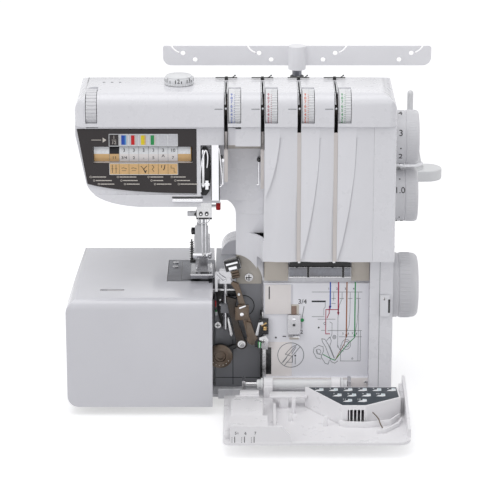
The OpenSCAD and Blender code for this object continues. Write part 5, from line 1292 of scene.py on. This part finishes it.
# Curved groove down the floor beside the right wall
piece_of("cover_curb", lc, "white_plastic", "door",
         slab([(sx + 60, sy - 62), (sx + 66, sy - 60), (sx + 78.4, sy - 45), (sx + 82.4, sy - 34),
               (sx + 83.6, sy - 34), (sx + 80.2, sy - 46), (sx + 67.2, sy - 61.6), (sx + 60.4, sy - 63.6)],
              "Z", floor_top - 0.2, floor_top + 3.6, 0.3),
         box((DOOR_R - 3.0, HINGE_Y - 44.0, floor_top - 0.2),
             (DOOR_R + 0.1, HINGE_Y - 10.0, shelf_top - 4.0), 0.5))
wire("cover_spring", [(sx + 57.0, sy - 45.0, floor_top + 12.6), (sx + 62.0, sy - 47.6, floor_top + 9.0),
                      (sx + 63.6, sy - 49.8, floor_top + 3.4), (sx + 65.6, sy - 52.0, floor_top + 1.0)],
     0.5, lc, "oiled")
# Scale on the front of the left ledge
LEDGE_F = DOOR_F + 0.4
bm = bmesh.new()
numbers = []
for k in range(3):
    x = DOOR_L + 7.6 + 8.2 * k
    for j, (dx, z1) in enumerate(((0, 8.2), (2.2, 8.2))):
        step = 0
        z = DOOR_Z + 2.6
        while z < DOOR_Z + z1:
            width = 0.35 if j == 0 else 0.55
            add_box(bm, (x + dx, LEDGE_F - 0.1, z), (x + dx + width, LEDGE_F + 0.05,
                                                     z + (1.0 if j == 0 else 5.4)))
            z += 1.9 if j == 0 else 9
    numbers.append((str(5 + k), 2.6, facing(x + 3.4, LEDGE_F - 0.06, DOOR_Z + 11.0, "-Y")))
add_box(bm, (DOOR_L + 12.6, LEDGE_F - 0.1, DOOR_Z + 10.2), (DOOR_L + 13.0, LEDGE_F + 0.05, DOOR_Z + 12.0))
keep(bm, "ledge_marks", lc, "chart_print", "ink_black")
letters("ledge_numbers", numbers, lc, "chart_print", "ink_black", 0.06)


# ---------------------------------------------------------------- handwheel and setting dials

hx, hw = COL_R + 0.5, 24.5
piece_of("handwheel_form", "shaft", "grey_plastic", "dial",
         lathe([(5.06, 0), (10.2, 0), (10.2, 18.6), (25.6, 18.6), (25.6, 0), (28.9, 0), (29.2, 0.5),
                (29.25, 5.6), (28.6, 6.2), (28.6, 6.8), (29.25, 7.4), (29.3, 17.4), (28.9, 20.4),
                (27.7, 22.8), (25.7, 24.1), (23.2, 24.5), (13.4, 24.5), (12.6, 24.1), (12.2, 23.2),
                (11.4, 23.2), (10.8, 24.2), (9.8, 24.5), (5.06, 24.5)], (hx, 0, SHAFT_Z), "X", 96),
         over=("handwheel",))
bm = bmesh.new()
for k in range(48):
    t = k * math.tau / 48
    p = (28.9 * math.cos(t), 28.9 * math.sin(t))
    add_rod(bm, (hx + 8.4, p[0], SHAFT_Z + p[1]), (hx + 16.8, p[0], SHAFT_Z + p[1]), 0.75, n=8)
keep(bm, "handwheel_grip", "shaft", "grey_plastic", "dial")
piece_of("handwheel_cap", "shaft", "white_plastic", "knob",
         rod((hx + hw - 0.8, 0, SHAFT_Z), (hx + hw - 0.06, 0, SHAFT_Z), 9.3, n=48, soft=0.2))
piece_of("handwheel_mark", "shaft", "grey_plastic", "ink_grey",
         slab([(17.2, SHAFT_Z - 0.5), (22.4, SHAFT_Z - 0.5), (22.4, SHAFT_Z + 0.5), (17.2, SHAFT_Z + 0.5)],
              "X", hx + hw - 0.1, hx + hw))


def round_dial(z, degrees, r, x, spin=0.0):
    """The place of a text on a dial's rim, which reads upright at the front."""
    return (Matrix.Translation((0, DIAL_Y, z)) @ Matrix.Rotation(math.radians(degrees), 4, "X")
            @ facing(x, -r, 0, "-Y", spin))


for name, z, words in (("stitch_length_dial", LENGTH_Z, (("5", -127), ("4", -75), ("3", -23), (".", 3),
                                                         ("2", 30), (".", 56),
                                                        ("1", 83))),
                       ("differential_dial", FEED_Z, (("2", -88), (".", -56), ("1.0", -24), (".", 35),
                                                      ("0.7", 66)))):
    piece_of(name + "_form", name, "grey_plastic", "dial",
             lathe([(3.4, 0.0), (5.8, 0.0), (5.8, 17.6), (20.8, 17.6), (20.8, 0.0), (23.6, 0), (23.96, 0.4),
                    (24.0, 9.6), (23.5, 10.1), (23.5, 10.6), (24.0, 11.1), (24.0, 19.6), (23.4, 21.4),
                    (22.0, 22.1), (15.4, 22.2), (14.8, 21.5), (14.0, 21.4), (0, 21.4), (0, 20.2),
                    (3.4, 17.6)], (hx, DIAL_Y, z), "X", 96),
             rod((103.0, DIAL_Y, z), (hx + 18, DIAL_Y, z), 4.0, n=32),
             over=(name,))
    bm = bmesh.new()
    for k in range(60):
        t = k * math.tau / 60
        p = (23.62 * math.cos(t), 23.62 * math.sin(t))
        add_rod(bm, (hx + 12.2, DIAL_Y + p[0], z + p[1]), (hx + 19.2, DIAL_Y + p[0], z + p[1]), 0.55, n=8)
    keep(bm, name + "_grip", name, "grey_plastic", "dial")
    letters(name + "_numbers", [(text, 5.6 if text != "." else 7.5,
                                 round_dial(z, degrees, 24.0, hx + 5.6)) for text, degrees in words],
            name, "grey_plastic", "ink_black")
bm = bmesh.new()
add_box(bm, (COL_R - 0.02, -12, FEED_Z + 26.2), (COL_R + 0.16, 2, FEED_Z + 27.0))
add_slab(bm, [(DIAL_Y - 1.6, FEED_Z + 30.0), (DIAL_Y + 1.6, FEED_Z + 30.0), (DIAL_Y, FEED_Z + 27.4)], "X",
         COL_R - 0.02, COL_R + 0.2)
for z in (LENGTH_Z, FEED_Z):
    add_slab(bm, [(DIAL_Y - 27.4, z - 1.2), (DIAL_Y - 27.4, z + 1.2), (DIAL_Y - 25.2, z)], "X",
             COL_R - 0.02, COL_R + 0.2)
keep(bm, "dial_pointers", "root", "grey_plastic", "ink_grey")
letters("switch_marks", [("0", 3.2, facing(COL_R + 0.02, -20, 121.4, "+X")),
                         ("1", 3.2, facing(COL_R + 0.02, -20, 148.6, "+X"))],
        "root", "grey_plastic", "ink_grey")

# ---------------------------------------------------------------- thread stand

bm = bmesh.new()
mt = "mast_top"
for x in PIN_X:
    side = -1 if x < MAST_X else 1
    for cx0, cz0, r in ((x, GUIDE_Z + GUIDE_H - 6.8, 2.2), (x - side * 11.3, GUIDE_Z + GUIDE_H - 13.0, 2.2)):
        for k in range(2):
            y = TRAY_Y + (-1.36 if k == 0 else 1.16)
            add_lathe(bm, [(r + 0.05, 0), (r + 1.3, 0), (r + 1.3, 0.2), (r + 0.9, 0.3), (r + 0.05, 0.3)],
                      (cx0, y, cz0), "Y", 28)
keep(bm, "guide_plate_rims", mt, "white_plastic", "guide")
piece_of("mast_collars", "root", "black_plastic", "black",
         lathe([(5.6, 0), (7.6, 0), (7.6, 5.0), (6.6, 6.0), (5.6, 6.0)], (MAST_X, TRAY_Y, TRAY_Z + TRAY_T),
               "Z", 40),
         lathe([(4.6, 0), (6.4, 0), (6.4, 4.0), (5.9, 4.4), (4.6, 4.4)], (MAST_X, TRAY_Y, GUIDE_Z - 14.2),
               "Z", 40))
# Foam-like rings under the cones, pin flats and tray lips
bm = bmesh.new()
for x in PIN_X:
    add_lathe(bm, [(3.2, 0), (12.6, 0), (13.4, 0.5), (13.4, 1.4), (12.6, 1.9), (3.2, 1.9)],
              (x, TRAY_Y, TRAY_Z + TRAY_T + 3.0), "Z", 56)
keep(bm, "spool_pads", "root", "rubber", "guide")
bm = bmesh.new()
for x in PIN_X:
    add_lathe(bm, [(13.1, -0.2), (13.9, -0.2), (13.9, 0.9), (13.6, 1.3), (13.1, 1.3)],
              (x, TRAY_Y, TRAY_Z + TRAY_T), "Z", 56)
add_slab(bm, rounded(MAST_X - 24, BACK + 1.0, MAST_X + 24, TRAY_Y - 12.5, 3), "Z", TRAY_Z + 1.0,
         TRAY_Z + TRAY_T - 1.2, 0.6)
for x in (-20, -7, 7, 20):
    add_box(bm, (MAST_X + x - 0.9, BACK + 0.8, TRAY_Z - 11.0),
            (MAST_X + x + 0.9, TRAY_Y - 15, TRAY_Z + 1.2), 0.3)
keep(bm, "tray_rings", "root", "white_plastic", "tray")

# ---------------------------------------------------------------- extension table, plate and bed

bm = bmesh.new()
et = "extension_table"
add_box(bm, (TABLE_L + 29.4, TABLE_F + 27.4, BED_Z - 1.35), (TABLE_L + 49.6, TABLE_F + 30.6, BED_Z - 1.0),
        0.2)
keep(bm, "table_catch_floor", et, "white_plastic", "beige")
piece_of("table_catch_marks", et, "black_plastic", "ink_grey",
         box((TABLE_L + 30.4, TABLE_F + 29.6, BED_Z - 1.1), (TABLE_L + 35.0, TABLE_F + 30.4, BED_Z - 0.7),
             0.1),
         box((TABLE_L + 44.0, TABLE_F + 27.8, BED_Z - 1.1), (TABLE_L + 48.6, TABLE_F + 28.8, BED_Z - 0.7),
             0.1))
for k, (x, y) in enumerate(((PLATE_L + 6, PLATE_B - 8), (PLATE_L + 6, PLATE_B - 20))):
    pan_screw("plate_screw_%d" % (k + 1), (x, y, BED_Z + 0.1), 2.6, "root", "steel", axis="+Z", cross=False,
              dome=0.35)
bm = bmesh.new()
for k in range(7):
    add_box(bm, (PLATE_R - 7.0 + 0.2, PLATE_F + 12 + 3.2 * k, BED_Z - 0.02),
            (PLATE_R - (3.4 if k % 2 else 1.6), PLATE_F + 12.35 + 3.2 * k, BED_Z + 0.04))
add_box(bm, (PLATE_L + 12, PLATE_F + 1, BED_Z - 0.02), (PLATE_L + 12.3, PLATE_B - 1, BED_Z + 0.04))
keep(bm, "plate_scale", "root", "black_plastic", "gloss_black")
piece_of("stitch_fingers", "root", "steel", "chrome",
         box((NEEDLE_X - 1.1, NEEDLE_Y + 4.6, BED_Z - 1.8), (NEEDLE_X - 0.4, NEEDLE_Y - 4.4, BED_Z - 0.25),
             0.1),
         box((NEEDLE_X + 2.2, NEEDLE_Y - 4.4, BED_Z - 1.8), (NEEDLE_X + 3.0, NEEDLE_Y + 4.6, BED_Z - 0.25),
             0.1))

# ---------------------------------------------------------------- back and underside

bm = bmesh.new()
for k in range(9):
    z = 62 + 7 * k
    add_box(bm, (14, BACK - 0.6, z), (62, BACK + 0.12, z + 2.6), 0.0)
keep(bm, "motor_vents", "root", "black_plastic", "black")
bm = bmesh.new()
for k in range(10):
    z = 58.4 + 7 * k
    add_box(bm, (12.5, BACK - 0.2, z + 0.9), (63.5, BACK + 0.75, z + 3.2), 0.4)
for x in (10.4, 63.2):
    add_box(bm, (x, BACK - 0.2, 58.6), (x + 2.6, BACK + 0.75, 124.8), 0.4)
keep(bm, "motor_vent_bars", "root", "white_plastic", "casing")
piece_of("rating_plate", "root", "chart_print", "label",
         slab(rounded(76, 58, 118, 84, 2), "Y", BACK - 0.1, BACK + 0.25, 0.1))
bm = bmesh.new()
add_slab(bm, rounded(62.6, 26.6, 97.4, 53.4, 3), "Y", BACK - 0.2, BACK + 0.9, 0.4)
add_slab(bm, rounded(67.5, 32.0, 92.5, 48.0, 2), "Y", BACK - 0.3, BACK + 0.95, 0.3)
bm.free()
bm = bmesh.new()
for x0, z0, x1, z1 in ((62.8, 27, 97.2, 29.6), (62.8, 50.4, 97.2, 53), (62.8, 29.4, 65.6, 50.6),
                       (94.4, 29.4, 97.2, 50.6)):
    add_box(bm, (x0, BACK - 0.2, z0), (x1, BACK + 0.95, z1), 0.35)
keep(bm, "inlet_frame", "root", "black_plastic", "black")
bm = bmesh.new()
for x in (75, 80, 85):
    add_rod(bm, (x, BACK - 11.2, 40), (x, BACK - 3.2, 40), 1.7, n=20, soft=0.4)
keep(bm, "inlet_pins", "root", "steel", "screw")
# The lifter's slot trim on the back
piece_of("lifter_trim", "root", "white_plastic", "casing",
         box((PRESSER_X - 9.4, ARM_BACK - 0.2, HEAD_Z + 1.2),
             (PRESSER_X - 8.0, ARM_BACK + 0.5, HEAD_Z + 22.6), 0.3),
         box((PRESSER_X + 8.0, ARM_BACK - 0.2, HEAD_Z + 1.2),
             (PRESSER_X + 9.4, ARM_BACK + 0.5, HEAD_Z + 22.6), 0.3),
         box((PRESSER_X - 9.4, ARM_BACK - 0.2, HEAD_Z + 22.0),
             (PRESSER_X + 9.4, ARM_BACK + 0.5, HEAD_Z + 23.4), 0.3))
for k, (x, z) in enumerate(((COL_R - 18, 60), (COL_R - 100, 60), (COL_R - 18, SEAM_Z - 30),
                            (COL_R - 100, SEAM_Z - 30))):
    pan_screw("back_screw_%d" % (k + 1), (x, BACK + 1.6, z), 3.4, "root", "chrome", axis="+Y")
bm = bmesh.new()
for x, y in ((-125, -44), (-125, 56), (102, -38), (98, 54), (-8.5, -46), (-8.5, 54), (0, 0)):
    add_lathe(bm, [(4.6, 0.02), (6.2, 0.02), (6.2, 0.3), (4.6, 0.3)], (x, y, 0), "Z", 32)
keep(bm, "foot_rings", "root", "rubber", "rubber")
